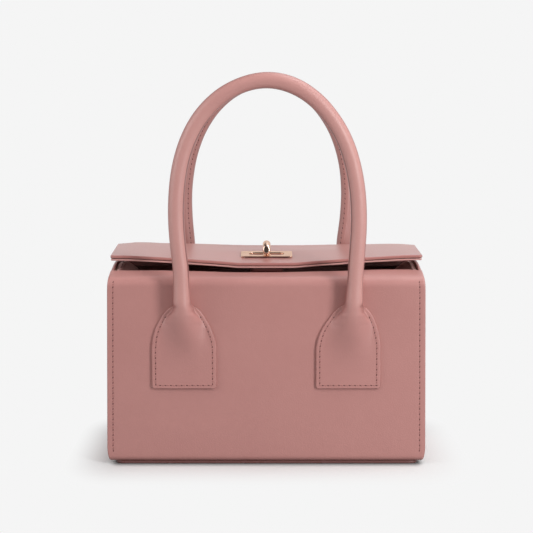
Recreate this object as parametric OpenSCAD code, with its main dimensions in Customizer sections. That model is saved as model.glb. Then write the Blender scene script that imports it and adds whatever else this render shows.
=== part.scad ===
// Top handle bag: a boarded leather box with sloped shoulders, a hinged lid held by a
// twist lock, and two rolled handles sewn on with shield-shaped tabs.
// The front faces -Y, +Z is up, and the origin is under the middle of the base.

/* [Body] */
// Width across the front panel
body_w = 220; // [190:1:250]
// Depth from the front panel to the back panel
body_d = 96; // [88:1:116]
// Height of the lips of the mouth above the ground
body_h = 135; // [118:1:150]
// Depth of the mouth between its two lips
mouth_d = 60; // [56:1:66]
// Radius of the shoulders
shoulder_r = 7; // [6:0.5:9]
// Slope of the shoulders above level, in degrees
shoulder_slope = 9; // [5:1:13]
// Radius along the bottom edges of the front and back panels
foot_r = 4; // [3.5:0.25:6]
// Rise of the side walls between the lips
side_rise = 2; // [0.5:0.5:3]

/* [Leather, board and lining] */
// Thickness of the outer leather
leather_t = 1.6; // [1.2:0.1:1.8]
// Thickness of the front and back boards
board_t = 1.6; // [1:0.1:1.8]
// Thickness of the side boards
side_board_t = 1.8; // [1.2:0.1:2.4]
// Thickness of the lining
lining_t = 0.8; // [0.5:0.1:1.2]
// Thickness of the leather facings inside the mouth
facing_t = 1.6; // [1:0.1:2]
// Thickness of the leather facings inside the side walls
side_facing_t = 2.3; // [1.6:0.1:3]
// Depth of the facings below the lips
facing_h = 30; // [22:1:40]
// Depth of the groove along the top of each side wall
groove_h = 3; // [1:0.5:4]
// Step from the panels' cut edges in to the side walls
gusset_inset = 0.2; // [0:0.1:1]
// Thickness of the base panel
base_t = 2.2; // [1.6:0.1:3]
// Step from the side of the bag in to the base panel
base_inset = 5; // [2:0.5:12]
// Radius of the base panel's corners
base_r = 5; // [2:0.5:10]

/* [Lid] */
// Whole thickness of the lid
lid_t = 3.8; // [3.4:0.1:4.4]
// Thickness of the lid's top leather
lid_cover_t = 2; // [1.6:0.1:2.2]
// Thickness of the lid's board
lid_board_t = 0.5; // [0.4:0.1:0.7]
// Height of the lid's rear edge above the lips
lid_lift = 12.5; // [10.5:0.5:14]
// Fall of the lid's front corners below its rear edge
lid_fall = 3; // [1:0.5:3.5]
// Further fall of the middle of the lid's front edge
lid_bow = 4.1; // [3:0.1:5]
// Step from the front lip back to the lid's front edge
lid_setback = 2; // [0:0.5:4]
// Step from the side of the bag in to the lid's end
lid_side_gap = 0.25; // [0:0.25:3]
// Step from the lid's edge in to its board
lid_board_inset = 1.6; // [1:0.1:3]
// Half width of the flat middle of the lid that carries the lock
lid_flat = 20; // [19.5:0.5:26]
// Radius of the rolled rear edge of the lid
roll_r = 1.8; // [1.5:0.1:2]
// Thickness of the leather hinge strip
strip_t = 1.6; // [1:0.1:2]
// Length of the hinge strip's flange along the rear shoulder
strip_flange = 10; // [6:0.5:11]

/* [Twist lock] */
// Distance from the lid's front edge back to the lock's axis
lock_back = 21.5; // [20:0.5:26]
// Width of the lock plate
plate_w = 37; // [34:0.5:38]
// Depth of the lock plate
plate_d = 17; // [14:0.5:19]
// Thickness of the lock plate
plate_t = 1.3; // [1:0.1:1.8]
// Radius of the lock plate's corners
plate_r = 1.6; // [1:0.1:3]
// Length of the slot in the lock plate
slot_w = 24; // [20:0.5:26]
// Width of the slot in the lock plate
slot_d = 6.2; // [6:0.1:7]
// Length of the toggle
toggle_l = 17; // [14:0.5:19]
// Width of the toggle
toggle_w = 5.6; // [5:0.1:6]
// Height of the toggle
toggle_h = 8.6; // [7:0.1:10]
// Radius of the turning post
post_r = 2; // [1.6:0.1:2.2]
// Outer radius of the bush round the post
bush_r = 2.8; // [2.6:0.1:2.9]
// Length of the bar under the lid that turns with the toggle
cam_l = 14; // [12:0.5:15]
// Width of that bar
cam_w = 5; // [4.4:0.1:5.6]
// Thickness of that bar
cam_t = 2; // [1.4:0.1:2.4]

/* [Closure tongue] */
// Width of the leather tongue behind the front lip
tongue_w = 23; // [21:0.5:26]
// Thickness of the tongue
tongue_t = 2.4; // [2:0.1:3]
// Thickness of the flange that joins the tongue to the front facing
flange_t = 1.6; // [1:0.1:2]
// Length of that flange
flange_l = 9; // [5:0.5:10]
// Thickness of the metal keeper let into the tongue
keeper_t = 0.8; // [0.6:0.1:1]
// Width of the keeper
keeper_w = 19; // [18:0.5:20]
// Length of the keeper
keeper_l = 29; // [27:0.5:30]
// Width of the keeper's slot
keeper_slot_w = 6.6; // [6.4:0.1:7]
// Length of the keeper's slot
keeper_slot_l = 20; // [18.5:0.5:21]

/* [Handles] */
// Radius of a handle over its leather
tube_r = 5.5; // [5:0.1:6]
// Thickness of the handle's leather
tube_leather_t = 1.2; // [0.8:0.1:1.6]
// Width of a handle between its centre lines
handle_w = 125.8; // [110:0.2:150]
// Rise of the handle's bow above its widest place
bow_rise = 85.9; // [78:0.1:94]
// Radius of the top of the bow
bow_top_r = 52; // [50:0.5:53]
// Height of the legs from the hinge line to the widest place
leg_h = 70.1; // [55:0.1:85]
// Lean of each leg's foot towards the middle
leg_in = 4.1; // [2:0.1:7]
// Distance of the hinge line below the lips
root_drop = 22; // [19:0.5:26]
// Clear space between a handle and its tab's leather
handle_gap = 1; // [0.8:0.1:2]
// Width of a tab
tab_w = 45.2; // [40:0.2:50]
// Height of a tab from its foot to the hinge line
tab_h = 57; // [50:0.5:64]
// Height of the hinge line above the place where a tab's sides start to close
tab_close_h = 31.7; // [28:0.1:36]
// Radius of a tab's closing sides
tab_side_r = 40.6; // [39:0.1:44]
// Thickness of a tab
tab_t = 2; // [1.6:0.1:2.4]
// Radius of a tab's lower corners
tab_corner_r = 2; // [1:0.5:4]
// Step of a tab's middle from the handle's foot towards the bag's middle
tab_shift = 2; // [0:0.1:3]

/* [Hidden] */

leather_colour = [0.74, 0.53, 0.51];
facing_colour = [0.68, 0.47, 0.46];
lining_colour = [0.45, 0.33, 0.33];
board_colour = [0.62, 0.55, 0.47];
core_colour = [0.82, 0.78, 0.70];
gold_colour = [0.86, 0.71, 0.50];

// overrun of every cut, and the clearances between pieces
cut = 1;
glue_gap = 0.05;
seat_gap = 0.3;
run_gap = 0.08;
cam_gap = 0.4;
tongue_gap = 0.5;
toggle_gap = 0.6;
arc_steps = 8;

half_w = body_w / 2;
half_d = body_d / 2;
lip_y = mouth_d / 2;

// the shoulder: an arc, then a straight slope up to the lip
lean_a = 90 - shoulder_slope;
shoulder_y = half_d - shoulder_r;
slope_len = (shoulder_y + shoulder_r * cos(lean_a) - lip_y) / sin(lean_a);
shoulder_z = body_h - shoulder_r * sin(lean_a) - slope_len * cos(lean_a);
wall_in = leather_t + board_t;
facing_z = body_h - facing_h;
floor_z = base_t + wall_in;
side_top = body_h + side_rise;

// the side wall's faces, counted in from the end of the bag
gusset_x = half_w - gusset_inset;
side_board_x = gusset_x - leather_t;
side_inner_x = side_board_x - side_board_t;
side_lining_x = side_inner_x - lining_t;
side_facing_x = side_inner_x - side_facing_t;

// the lid: straight along its hinge, bowed down along its front edge
hinge_y = lip_y - strip_t / 2;
hinge_z = body_h + lid_lift - roll_r;
lid_front_y = -(lip_y - lid_setback);
lid_run = hinge_y - lid_front_y;
lid_half_w = half_w - lid_side_gap;
bow_steps = 10;
bow_table = [for (i = [0:bow_steps])
    [lid_flat + (lid_half_w - lid_flat) * i / bow_steps, pow(1 - i / bow_steps, 2)]];
lid_lining_t = lid_t - lid_cover_t - lid_board_t - 2 * glue_gap;
lid_seam_y = hinge_y - roll_r - seat_gap;
strip_top = hinge_z - roll_r - seat_gap;

// the lock stands square to the flat middle of the lid
lock_y = lid_front_y + lock_back;
lock_tilt = atan((lid_fall + lid_bow) / lid_run);
flat_share = cos(lock_tilt);
lid_under = -lid_t * flat_share;
washer_t = lid_lining_t * flat_share;
washer_w = 32;
washer_d = 13;
screw_x = 14.2;
screw_r = 1;
screw_head_r = 1.7;
screw_head_t = 0.7;
screw_bite = 0.8;
bush_stand = 0.9;
tongue_top = lid_under - tongue_gap * flat_share;
tongue_under = tongue_top - tongue_t;
cam_top = tongue_under - cam_gap;
toggle_foot = plate_t + toggle_gap;
post_bite = 3;
cam_screw_r = 1;
cam_screw_bite = 4;
cam_head_r = 1.9;
cam_head_t = 0.8;
keeper_margin = 0.7;
rivet_r = 0.8;
rivet_inset = 1.9;
rivet_head_r = 1.3;
rivet_head_t = 0.3;
tip_margin = 1.5;
tongue_tip_y = lock_y + (keeper_l / 2 + tip_margin) * flat_share;

// the handles
root_z = body_h - root_drop;
handle_x = handle_w / 2;
root_x = handle_x - leg_in;
handle_y = half_d + tab_t + handle_gap + tube_r;
bow_z = root_z + leg_h;
side_r = (pow(handle_x, 2) + pow(bow_rise, 2) - 2 * bow_rise * bow_top_r)
    / (2 * (handle_x - bow_top_r));
join_a = atan2(bow_rise - bow_top_r, side_r - handle_x);
leg_r = (pow(leg_h, 2) + pow(leg_in, 2)) / (2 * leg_in);
leg_a = asin(leg_h / leg_r);
core_r = tube_r - tube_leather_t - run_gap;
tab_x = root_x - tab_shift;
tab_foot_z = root_z - tab_h;
tab_close_z = root_z - tab_close_h;
root_ball_drop = 8;
root_fan_drop = 27;
root_fan_r = 12;
root_fan_t = 0.4;
tube_sides = 16;
dome_steps = 3;
end_hole_r = 1.2;

// the right half of a handle's centre line, foot first: each place is the centre, the
// radius and the angle of its arc
run_steps = 5;
function run(cx, cz, r, a0, a1, first) = [for (i = [first:run_steps])
    [cx, cz, r, a0 + (a1 - a0) * i / run_steps]];
half_run = concat(
    run(handle_x - leg_r, bow_z, leg_r, -leg_a, 0, 0),
    run(handle_x - side_r, bow_z, side_r, 0, join_a, 1),
    run(0, bow_z + bow_rise - bow_top_r, bow_top_r, join_a, 90, 1));

function arc(cy, cz, r, a0, a1) = [for (i = [0:arc_steps])
    let (a = a0 + (a1 - a0) * i / arc_steps) [cy + r * cos(a), cz + r * sin(a)]];
function flip(l) = [for (i = [len(l) - 1:-1:0]) l[i]];
function mirrored(l) = [for (p = flip(l)) [-p[0], p[1]]];

// the back wall in section, d in from its outer face
function foot_arc(d) = arc(half_d - foot_r, base_t + foot_r, foot_r - d, -90, 0);
function slope_point(d, along) = [
    shoulder_y + (shoulder_r - d) * cos(lean_a) - along * sin(lean_a),
    shoulder_z + (shoulder_r - d) * sin(lean_a) + along * cos(lean_a)];
function lip_arc(d) = concat(
    arc(shoulder_y, shoulder_z, shoulder_r - d, 0, lean_a), [slope_point(d, slope_len)]);
function crown(d, top) = let (p = slope_point(d, slope_len)) [for (i = [1:2 * arc_steps - 1])
    let (u = 1 - i / arc_steps) [p[0] * u, p[1] + (top - p[1]) * (1 - u * u)]];
// a side wall in outline
function side_line(d, top) = concat(foot_arc(d), lip_arc(d), crown(d, top),
    mirrored(concat(foot_arc(d), lip_arc(d))));

function bow_share(x) = lookup(abs(x), bow_table);
function lid_z(x, y) = hinge_z + roll_r
    - (hinge_y - y) / lid_run * (lid_fall + lid_bow * bow_share(x));

module across(w) {
    rotate([90, 0, 90]) linear_extrude(height = w, center = true) children();
}

module side_sheet(x, t) {
    translate([x - t / 2, 0, 0]) across(t) children();
}

module block(x, y, z0, z1) {
    translate([-x, -y, z0]) cube([2 * x, 2 * y, z1 - z0]);
}

module rounded(w, d, r) {
    for (x = [-1, 1], y = [-1, 1])
        translate([x * (w / 2 - r), y * (d / 2 - r)]) circle(r = r, $fn = 32);
    square([w, d - 2 * r], center = true);
    square([w - 2 * r, d], center = true);
}

// Walls

module wall(d1, d2, w) {
    across(w) polygon(concat(foot_arc(d1), lip_arc(d1), flip(lip_arc(d2)), flip(foot_arc(d2))));
}

module back_panel() {
    color(leather_colour) wall(0, leather_t, body_w);
}

module front_panel() {
    mirror([0, 1, 0]) back_panel();
}

module back_board() {
    color(board_colour) wall(leather_t, wall_in, 2 * side_board_x);
}

module front_board() {
    mirror([0, 1, 0]) back_board();
}

module back_lining() {
    color(lining_colour) across(2 * side_lining_x)
        translate([half_d - wall_in - lining_t, base_t + foot_r])
        square([lining_t, facing_z - base_t - foot_r]);
}

module front_lining() {
    mirror([0, 1, 0]) back_lining();
}

module back_facing() {
    d2 = wall_in + facing_t;
    color(facing_colour) across(2 * side_facing_x) polygon(concat(
        [[half_d - wall_in, facing_z]], lip_arc(wall_in),
        flip(lip_arc(d2)), [[half_d - d2, facing_z]]));
}

module front_facing() {
    mirror([0, 1, 0]) back_facing();
}

module base_panel() {
    color(leather_colour) linear_extrude(height = base_t)
        rounded(body_w - 2 * base_inset, body_d - 2 * foot_r, base_r);
}

module base_board() {
    color(board_colour) block(side_board_x, half_d - foot_r, base_t, floor_z);
}

module base_lining() {
    color(lining_colour) block(side_lining_x, half_d - foot_r, floor_z, floor_z + lining_t);
}

module right_gusset() {
    low = [half_d - foot_r, base_t];
    color(leather_colour) side_sheet(gusset_x, leather_t)
        polygon(concat([low], side_line(leather_t, side_top), [[-low[0], low[1]]]));
}

module left_gusset() {
    mirror([1, 0, 0]) right_gusset();
}

module right_board() {
    color(board_colour) side_sheet(side_board_x, side_board_t)
        polygon(side_line(wall_in, side_top - groove_h));
}

module left_board() {
    mirror([1, 0, 0]) right_board();
}

module right_lining() {
    color(lining_colour) side_sheet(side_inner_x, lining_t) polygon(concat(
        foot_arc(wall_in), [[half_d - wall_in, facing_z], [wall_in - half_d, facing_z]],
        mirrored(foot_arc(wall_in))));
}

module left_lining() {
    mirror([1, 0, 0]) right_lining();
}

module right_facing() {
    low = [half_d - wall_in, facing_z];
    color(facing_colour) side_sheet(side_inner_x, side_facing_t) polygon(concat(
        [low], lip_arc(wall_in), crown(wall_in, side_top), mirrored(lip_arc(wall_in)),
        [[-low[0], low[1]]]));
}

module left_facing() {
    mirror([1, 0, 0]) right_facing();
}

// Handles and tabs, drawn at the back and mirrored to the front

module tab_outline() {
    intersection() {
        translate([tab_w / 2 - tab_side_r, 0]) circle(r = tab_side_r, $fn = 96);
        translate([tab_side_r - tab_w / 2, 0]) circle(r = tab_side_r, $fn = 96);
        translate([-tab_w / 2, 0]) square([tab_w, tab_side_r]);
    }
    low = tab_close_z - tab_foot_z;
    translate([-tab_w / 2, tab_corner_r - low]) square([tab_w, low - tab_corner_r]);
    translate([tab_corner_r - tab_w / 2, -low]) square([tab_w - 2 * tab_corner_r, tab_corner_r]);
    for (s = [-1, 1])
        translate([s * (tab_w / 2 - tab_corner_r), tab_corner_r - low])
            circle(r = tab_corner_r, $fn = 32);
}

// the handle's leather where it opens out below the neck and flattens onto the tab
module root_pad() {
    difference() {
        hull() {
            translate([root_x, handle_y, root_z - root_ball_drop]) sphere(r = tube_r, $fn = 32);
            translate([tab_x, half_d, root_z - root_fan_drop]) rotate([-90, 0, 0])
                cylinder(r = root_fan_r, h = tab_t + root_fan_t, $fn = 32);
        }
        translate([root_x, handle_y, root_z]) rotate([0, 90, 0])
            cylinder(r = tube_r + seat_gap, h = 4 * tube_r, center = true, $fn = 64);
    }
}

module rear_right_tab() {
    color(leather_colour) union() {
        translate([tab_x, half_d + tab_t, tab_close_z]) rotate([90, 0, 0])
            linear_extrude(height = tab_t) tab_outline();
        root_pad();
    }
}

module rear_left_tab() {
    mirror([1, 0, 0]) rear_right_tab();
}

module front_right_tab() {
    mirror([0, 1, 0]) rear_right_tab();
}

module front_left_tab() {
    mirror([0, 1, 0]) rear_left_tab();
}

// rings of a handle's tube: s is a place on its centre line, q the ring's radius, and
// along moves the ring towards the handle's foot
function ring(s, q, along) = [for (i = [0:tube_sides - 1])
    let (b = 360 * i / tube_sides, d = s[2] + q * cos(b))
    [s[0] + d * cos(s[3]) + along * sin(s[3]), handle_y + q * sin(b),
        s[1] + d * sin(s[3]) - along * cos(s[3])]];
function half_tube(q) = [for (s = half_run) ring(s, q, 0)];
function foot_rings(ends) = [for (e = ends) ring(half_run[0], e[0], e[1])];
function both_halves(half) = concat(half, [for (i = [len(half) - 2:-1:0])
    [for (p = half[i]) [-p[0], p[1], p[2]]]]);
function band(i, j) = [for (k = [0:tube_sides - 1]) let (l = (k + 1) % tube_sides) each [
    [i * tube_sides + k, j * tube_sides + k, j * tube_sides + l],
    [i * tube_sides + k, j * tube_sides + l, i * tube_sides + l]]];

// the leather closes over the core's end, but for a small hole
module rear_handle_cover() {
    e0 = asin(end_hole_r / tube_r);
    dome = [for (i = [0:dome_steps - 1]) let (e = e0 + (90 - e0) * i / dome_steps)
        [tube_r * sin(e), tube_r * cos(e)]];
    outer = both_halves(concat(foot_rings(dome), half_tube(tube_r)));
    inner = both_halves(concat(
        foot_rings([[end_hole_r, 0]]), half_tube(tube_r - tube_leather_t)));
    rings = concat(outer, flip(inner));
    n = len(rings);
    color(leather_colour) polyhedron(
        points = [for (r = rings) each r],
        faces = [for (i = [0:n - 1]) each band(i, (i + 1) % n)]);
}

module rear_handle_core() {
    half = half_tube(core_r);
    rings = both_halves(concat(
        foot_rings([[core_r, -run_gap]]), [for (i = [1:len(half) - 1]) half[i]]));
    n = len(rings);
    last = (n - 1) * tube_sides;
    color(core_colour) polyhedron(
        points = [for (r = rings) each r],
        faces = concat([for (i = [0:n - 2]) each band(i, i + 1)],
            [[for (k = [0:tube_sides - 1]) k],
            [for (k = [tube_sides - 1:-1:0]) last + k]]));
}

module front_handle_cover() {
    mirror([0, 1, 0]) rear_handle_cover();
}

module front_handle_core() {
    mirror([0, 1, 0]) rear_handle_core();
}

// Lid

// one layer of the lid: drop below the top face, thickness, and step in from the edges
module lid_sheet(drop, t, inset, rear_y) {
    w = lid_half_w - inset;
    side = concat([for (p = bow_table) if (p[0] < w) p[0]], [w]);
    xs = concat([for (x = flip(side)) -x], side);
    ys = [lid_front_y + inset, rear_y];
    n = len(xs);
    points = [for (x = xs, y = ys, d = [drop, drop + t]) [x, y, lid_z(x, y) - d]];
    // point of station i, row j (0 front, 1 rear), face k (0 top, 1 under)
    function at(i, j, k) = 4 * i + 2 * j + k;
    skin = [for (i = [0:n - 2]) each [
        [at(i, 0, 0), at(i, 1, 0), at(i + 1, 0, 0)],
        [at(i + 1, 0, 0), at(i, 1, 0), at(i + 1, 1, 0)],
        [at(i, 0, 1), at(i + 1, 0, 1), at(i, 1, 1)],
        [at(i + 1, 0, 1), at(i + 1, 1, 1), at(i, 1, 1)],
        [at(i, 0, 0), at(i + 1, 0, 0), at(i + 1, 0, 1)],
        [at(i, 0, 0), at(i + 1, 0, 1), at(i, 0, 1)],
        [at(i, 1, 0), at(i + 1, 1, 1), at(i + 1, 1, 0)],
        [at(i, 1, 0), at(i, 1, 1), at(i + 1, 1, 1)]]];
    ends = [
        [at(0, 0, 0), at(0, 0, 1), at(0, 1, 1)],
        [at(0, 0, 0), at(0, 1, 1), at(0, 1, 0)],
        [at(n - 1, 0, 0), at(n - 1, 1, 1), at(n - 1, 0, 1)],
        [at(n - 1, 0, 0), at(n - 1, 1, 0), at(n - 1, 1, 1)]];
    polyhedron(points = points, faces = concat(skin, ends));
}

// the lock's own frame: its origin on the lid's top face, its axis square to it
module lock_frame() {
    translate([0, lock_y, lid_z(0, lock_y)]) rotate([lock_tilt, 0, 0]) children();
}

module at_screws() {
    for (s = [-1, 1]) translate([s * screw_x, 0, 0]) children();
}

module lock_holes() {
    lock_frame() translate([0, 0, lid_under - cut]) {
        cylinder(r = bush_r + glue_gap, h = lid_t + 2 * cut, $fn = 48);
        at_screws() cylinder(r = screw_r + glue_gap, h = lid_t + 2 * cut, $fn = 32);
    }
}

module lid_cover() {
    color(leather_colour) difference() {
        union() {
            lid_sheet(0, lid_cover_t, 0, hinge_y);
            translate([0, hinge_y, hinge_z]) rotate([0, 90, 0])
                cylinder(r = roll_r, h = 2 * lid_half_w, center = true, $fn = 48);
        }
        lock_holes();
    }
}

module lid_board() {
    color(board_colour) difference() {
        lid_sheet(lid_cover_t + glue_gap, lid_board_t, lid_board_inset, lid_seam_y);
        lock_holes();
    }
}

module lid_lining() {
    color(facing_colour) difference() {
        lid_sheet(lid_t - lid_lining_t, lid_lining_t, glue_gap, lid_seam_y);
        lock_frame() translate([0, 0, lid_under - cut])
            linear_extrude(height = washer_t + 2 * cut)
            square([washer_w + 2 * glue_gap, washer_d + 2 * glue_gap], center = true);
    }
}

module hinge_strip() {
    out = slope_point(0, slope_len - strip_flange);
    lip = slope_point(0, slope_len);
    over = slope_point(-strip_t, slope_len - strip_flange);
    rise_z = lip[1] + strip_t / cos(shoulder_slope);
    color(leather_colour) across(2 * gusset_x) polygon([
        out, over, [lip_y, rise_z], [lip_y, strip_top], [lip_y - strip_t, strip_top],
        [lip_y - strip_t, lip[1]], lip]);
}

// Twist lock, drawn in the lock's frame

module lock_plate() {
    color(gold_colour) lock_frame() difference() {
        linear_extrude(height = plate_t) difference() {
            rounded(plate_w, plate_d, plate_r);
            rounded(slot_w, slot_d, slot_d / 2 - glue_gap);
        }
        translate([0, 0, -cut]) at_screws()
            cylinder(r = screw_r + glue_gap, h = screw_bite + glue_gap + cut, $fn = 32);
    }
}

module lock_bush() {
    h = bush_stand - lid_under;
    color(gold_colour) lock_frame() translate([0, 0, lid_under]) difference() {
        cylinder(r = bush_r, h = h, $fn = 48);
        translate([0, 0, -cut]) cylinder(r = post_r + run_gap, h = h + 2 * cut, $fn = 48);
    }
}

module lock_washer() {
    color(gold_colour) lock_frame() translate([0, 0, lid_under])
        linear_extrude(height = washer_t) difference() {
            square([washer_w, washer_d], center = true);
            circle(r = bush_r + glue_gap, $fn = 48);
            at_screws() circle(r = screw_r + glue_gap, $fn = 32);
        }
}

module lock_screws() {
    color(gold_colour) lock_frame() translate([0, 0, lid_under]) at_screws() {
        cylinder(r = screw_r, h = screw_bite - lid_under, $fn = 32);
        translate([0, 0, -screw_head_t]) cylinder(r = screw_head_r, h = screw_head_t, $fn = 32);
    }
}

module lock_toggle() {
    r = toggle_w / 2;
    color(gold_colour) lock_frame() translate([0, 0, toggle_foot]) difference() {
        hull() for (s = [-1, 1], z = [r, toggle_h - r])
            translate([0, s * (toggle_l / 2 - r), z]) sphere(r = r, $fn = 32);
        translate([0, 0, -cut])
            cylinder(r = post_r + glue_gap, h = post_bite + glue_gap + cut, $fn = 48);
    }
}

module lock_post() {
    color(gold_colour) lock_frame() difference() {
        translate([0, 0, cam_top])
            cylinder(r = post_r, h = toggle_foot + post_bite - cam_top, $fn = 48);
        translate([0, 0, cam_top - cut])
            cylinder(r = cam_screw_r + glue_gap, h = cam_screw_bite + glue_gap + cut, $fn = 32);
    }
}

module lock_cam() {
    color(gold_colour) lock_frame() translate([0, 0, cam_top - cam_t])
        linear_extrude(height = cam_t) difference() {
            rounded(cam_w, cam_l, cam_w / 2 - glue_gap);
            circle(r = cam_screw_r + glue_gap, $fn = 32);
        }
}

module cam_screw() {
    color(gold_colour) lock_frame() translate([0, 0, cam_top - cam_t]) {
        cylinder(r = cam_screw_r, h = cam_t + cam_screw_bite, $fn = 32);
        translate([0, 0, -cam_head_t]) cylinder(r = cam_head_r, h = cam_head_t, $fn = 32);
    }
}

// Closure tongue: a flange under the front facing, a riser behind the lip, then the
// tongue itself, parallel to the lid

module at_rivets() {
    for (x = [-1, 1], y = [-1, 1])
        translate([x * (keeper_w / 2 - rivet_inset), y * (keeper_l / 2 - rivet_inset)]) children();
}

module closure_tongue() {
    d = wall_in + facing_t;
    root = slope_point(d, slope_len - flange_l);
    root_low = slope_point(d + flange_t, slope_len - flange_l);
    lip = slope_point(d, slope_len);
    lip_low = slope_point(d + flange_t, slope_len);
    back_y = lip[0] - tongue_t;
    drop = tongue_t / flat_share;
    function top_z(y) = lid_z(0, -y) - lid_t - tongue_gap;
    color(leather_colour) difference() {
        mirror([0, 1, 0]) across(tongue_w) polygon([
            root, lip, [lip[0], top_z(lip[0])],
            [-tongue_tip_y, top_z(-tongue_tip_y)], [-tongue_tip_y, top_z(-tongue_tip_y) - drop],
            [back_y, top_z(back_y) - drop], [back_y, lip_low[1]], lip_low, root_low]);
        lock_frame() {
            translate([0, 0, tongue_top - keeper_t]) linear_extrude(height = keeper_t + cut)
                square([keeper_w + 2 * glue_gap, keeper_l + 2 * glue_gap], center = true);
            translate([0, 0, tongue_under - cut]) linear_extrude(height = tongue_t + 2 * cut) {
                rounded(keeper_slot_w + 2 * keeper_margin, keeper_slot_l + 2 * keeper_margin,
                    keeper_slot_w / 2);
                at_rivets() circle(r = rivet_r + glue_gap, $fn = 32);
            }
        }
    }
}

module keeper_plate() {
    color(gold_colour) lock_frame() translate([0, 0, tongue_top - keeper_t])
        linear_extrude(height = keeper_t) difference() {
            square([keeper_w, keeper_l], center = true);
            rounded(keeper_slot_w, keeper_slot_l, keeper_slot_w / 2 - glue_gap);
            at_rivets() circle(r = rivet_r + glue_gap, $fn = 32);
        }
}

module keeper_rivets() {
    color(gold_colour) lock_frame() at_rivets() {
        translate([0, 0, tongue_under]) cylinder(r = rivet_r, h = tongue_t, $fn = 32);
        translate([0, 0, tongue_under - rivet_head_t])
            cylinder(r = rivet_head_r, h = rivet_head_t, $fn = 32);
    }
}

front_panel();
back_panel();
base_panel();
left_gusset();
right_gusset();
front_board();
back_board();
base_board();
left_board();
right_board();
front_lining();
back_lining();
base_lining();
left_lining();
right_lining();
front_facing();
back_facing();
left_facing();
right_facing();
front_left_tab();
front_right_tab();
rear_left_tab();
rear_right_tab();
closure_tongue();
keeper_plate();
keeper_rivets();
hinge_strip();
front_handle_cover();
front_handle_core();
rear_handle_cover();
rear_handle_core();
lid_cover();
lid_board();
lid_lining();
lock_plate();
lock_bush();
lock_washer();
lock_screws();
lock_toggle();
lock_post();
lock_cam();
cam_screw();
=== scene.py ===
from math import atan, atan2, copysign, cos, degrees, dist, exp, hypot, pi, radians, sin, sqrt, tan

import bmesh
import bpy
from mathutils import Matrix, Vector


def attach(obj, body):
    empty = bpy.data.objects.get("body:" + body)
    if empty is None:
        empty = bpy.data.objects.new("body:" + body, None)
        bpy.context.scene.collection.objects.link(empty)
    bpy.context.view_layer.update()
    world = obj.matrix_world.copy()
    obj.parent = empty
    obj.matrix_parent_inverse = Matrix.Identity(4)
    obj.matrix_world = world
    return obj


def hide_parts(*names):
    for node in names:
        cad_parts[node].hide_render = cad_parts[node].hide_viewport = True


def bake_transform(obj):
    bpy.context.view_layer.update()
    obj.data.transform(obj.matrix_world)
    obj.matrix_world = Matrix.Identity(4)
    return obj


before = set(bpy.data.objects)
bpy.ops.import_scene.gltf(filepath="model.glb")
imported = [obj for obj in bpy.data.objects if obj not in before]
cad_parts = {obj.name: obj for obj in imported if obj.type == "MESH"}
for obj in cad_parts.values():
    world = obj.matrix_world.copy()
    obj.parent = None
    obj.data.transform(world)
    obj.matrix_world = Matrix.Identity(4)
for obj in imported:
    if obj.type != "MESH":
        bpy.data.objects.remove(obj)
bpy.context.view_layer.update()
scene = bpy.context.scene
print("frame loaded,", len(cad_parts), "solids")

# lengths below are in millimetres; they become metres when a mesh is made
milli = 0.001

# Camera

cameraSetup = {"place": (-0.0001, -1.0, 0.2714), "pitch": 7.82,  # degrees below level
               "lens": 94.0, "sensor": 36, "clip": (0.05, 60)}

cameraData = bpy.data.cameras.new("photoCamera")
cameraData.lens = cameraSetup["lens"]
cameraData.sensor_width = cameraSetup["sensor"]
cameraData.clip_start, cameraData.clip_end = cameraSetup["clip"]
camera = bpy.data.objects.new("photoCamera", cameraData)
camera.location = cameraSetup["place"]
camera.rotation_euler = (radians(90 - cameraSetup["pitch"]), 0, 0)
scene.collection.objects.link(camera)
scene.camera = camera
scene.view_settings.view_transform = "Standard"
print("camera ready")


# Small helpers for lists, curves and meshes

def mix(a, b, t):
    return a + (b - a) * t


def smooth(low, high, value):
    t = min(max((value - low) / (high - low), 0.0), 1.0)
    return t * t * (3 - 2 * t)


def within(value, a, b, c, d):  # rises from a to b and falls from c to d
    return smooth(a, b, value) * (1 - smooth(c, d, value))


def fromTable(table, x, roundness=0.35):  # table of (x, y) pairs, rising in x
    if x <= table[0][0]:
        return table[0][1]
    for (x0, y0), (x1, y1) in zip(table, table[1:]):
        if x <= x1:
            return mix(y0, y1, mix((x - x0) / (x1 - x0), smooth(x0, x1, x), roundness))
    return table[-1][1]


def hump(value, middle, reach, power=4):  # 1 in the middle, 0 at its reach
    return max(0.0, 1 - ((value - middle) / reach) ** power)


def edgeDrop(distance, radius):  # how far a rounded edge falls away
    if distance >= radius:
        return 0.0
    k = radius - max(distance, 0.0)
    return radius - sqrt(max(radius * radius - k * k, 0.0))


def stepsAlong(start, stop, gap, near=(0.12, 0.35, 0.7, 1.2, 2.0)):
    # places from start to stop, close together at both ends: (place, distance to nearer end)
    length = stop - start
    ends = [n for n in near if n < length * 0.4]
    low = ends[-1] if ends else 0.0
    count = max(int(round((length - 2 * low) / gap)), 1)
    inner = [low + (length - 2 * low) * i / count for i in range(count + 1)]
    places = [0.0] + ends[:-1] + inner + [length - n for n in ends[:-1]] + [length]
    return [(start + p, min(p, length - p)) for p in sorted(set(round(p, 6) for p in places))]


def evenSteps(start, length, n):  # n places from start, without the last
    return [start + length * i / n for i in range(n)]


def circle(n, turn=0.0):  # n angles round a circle
    return [pi * 2 * (i + turn) / n for i in range(n)]


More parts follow.
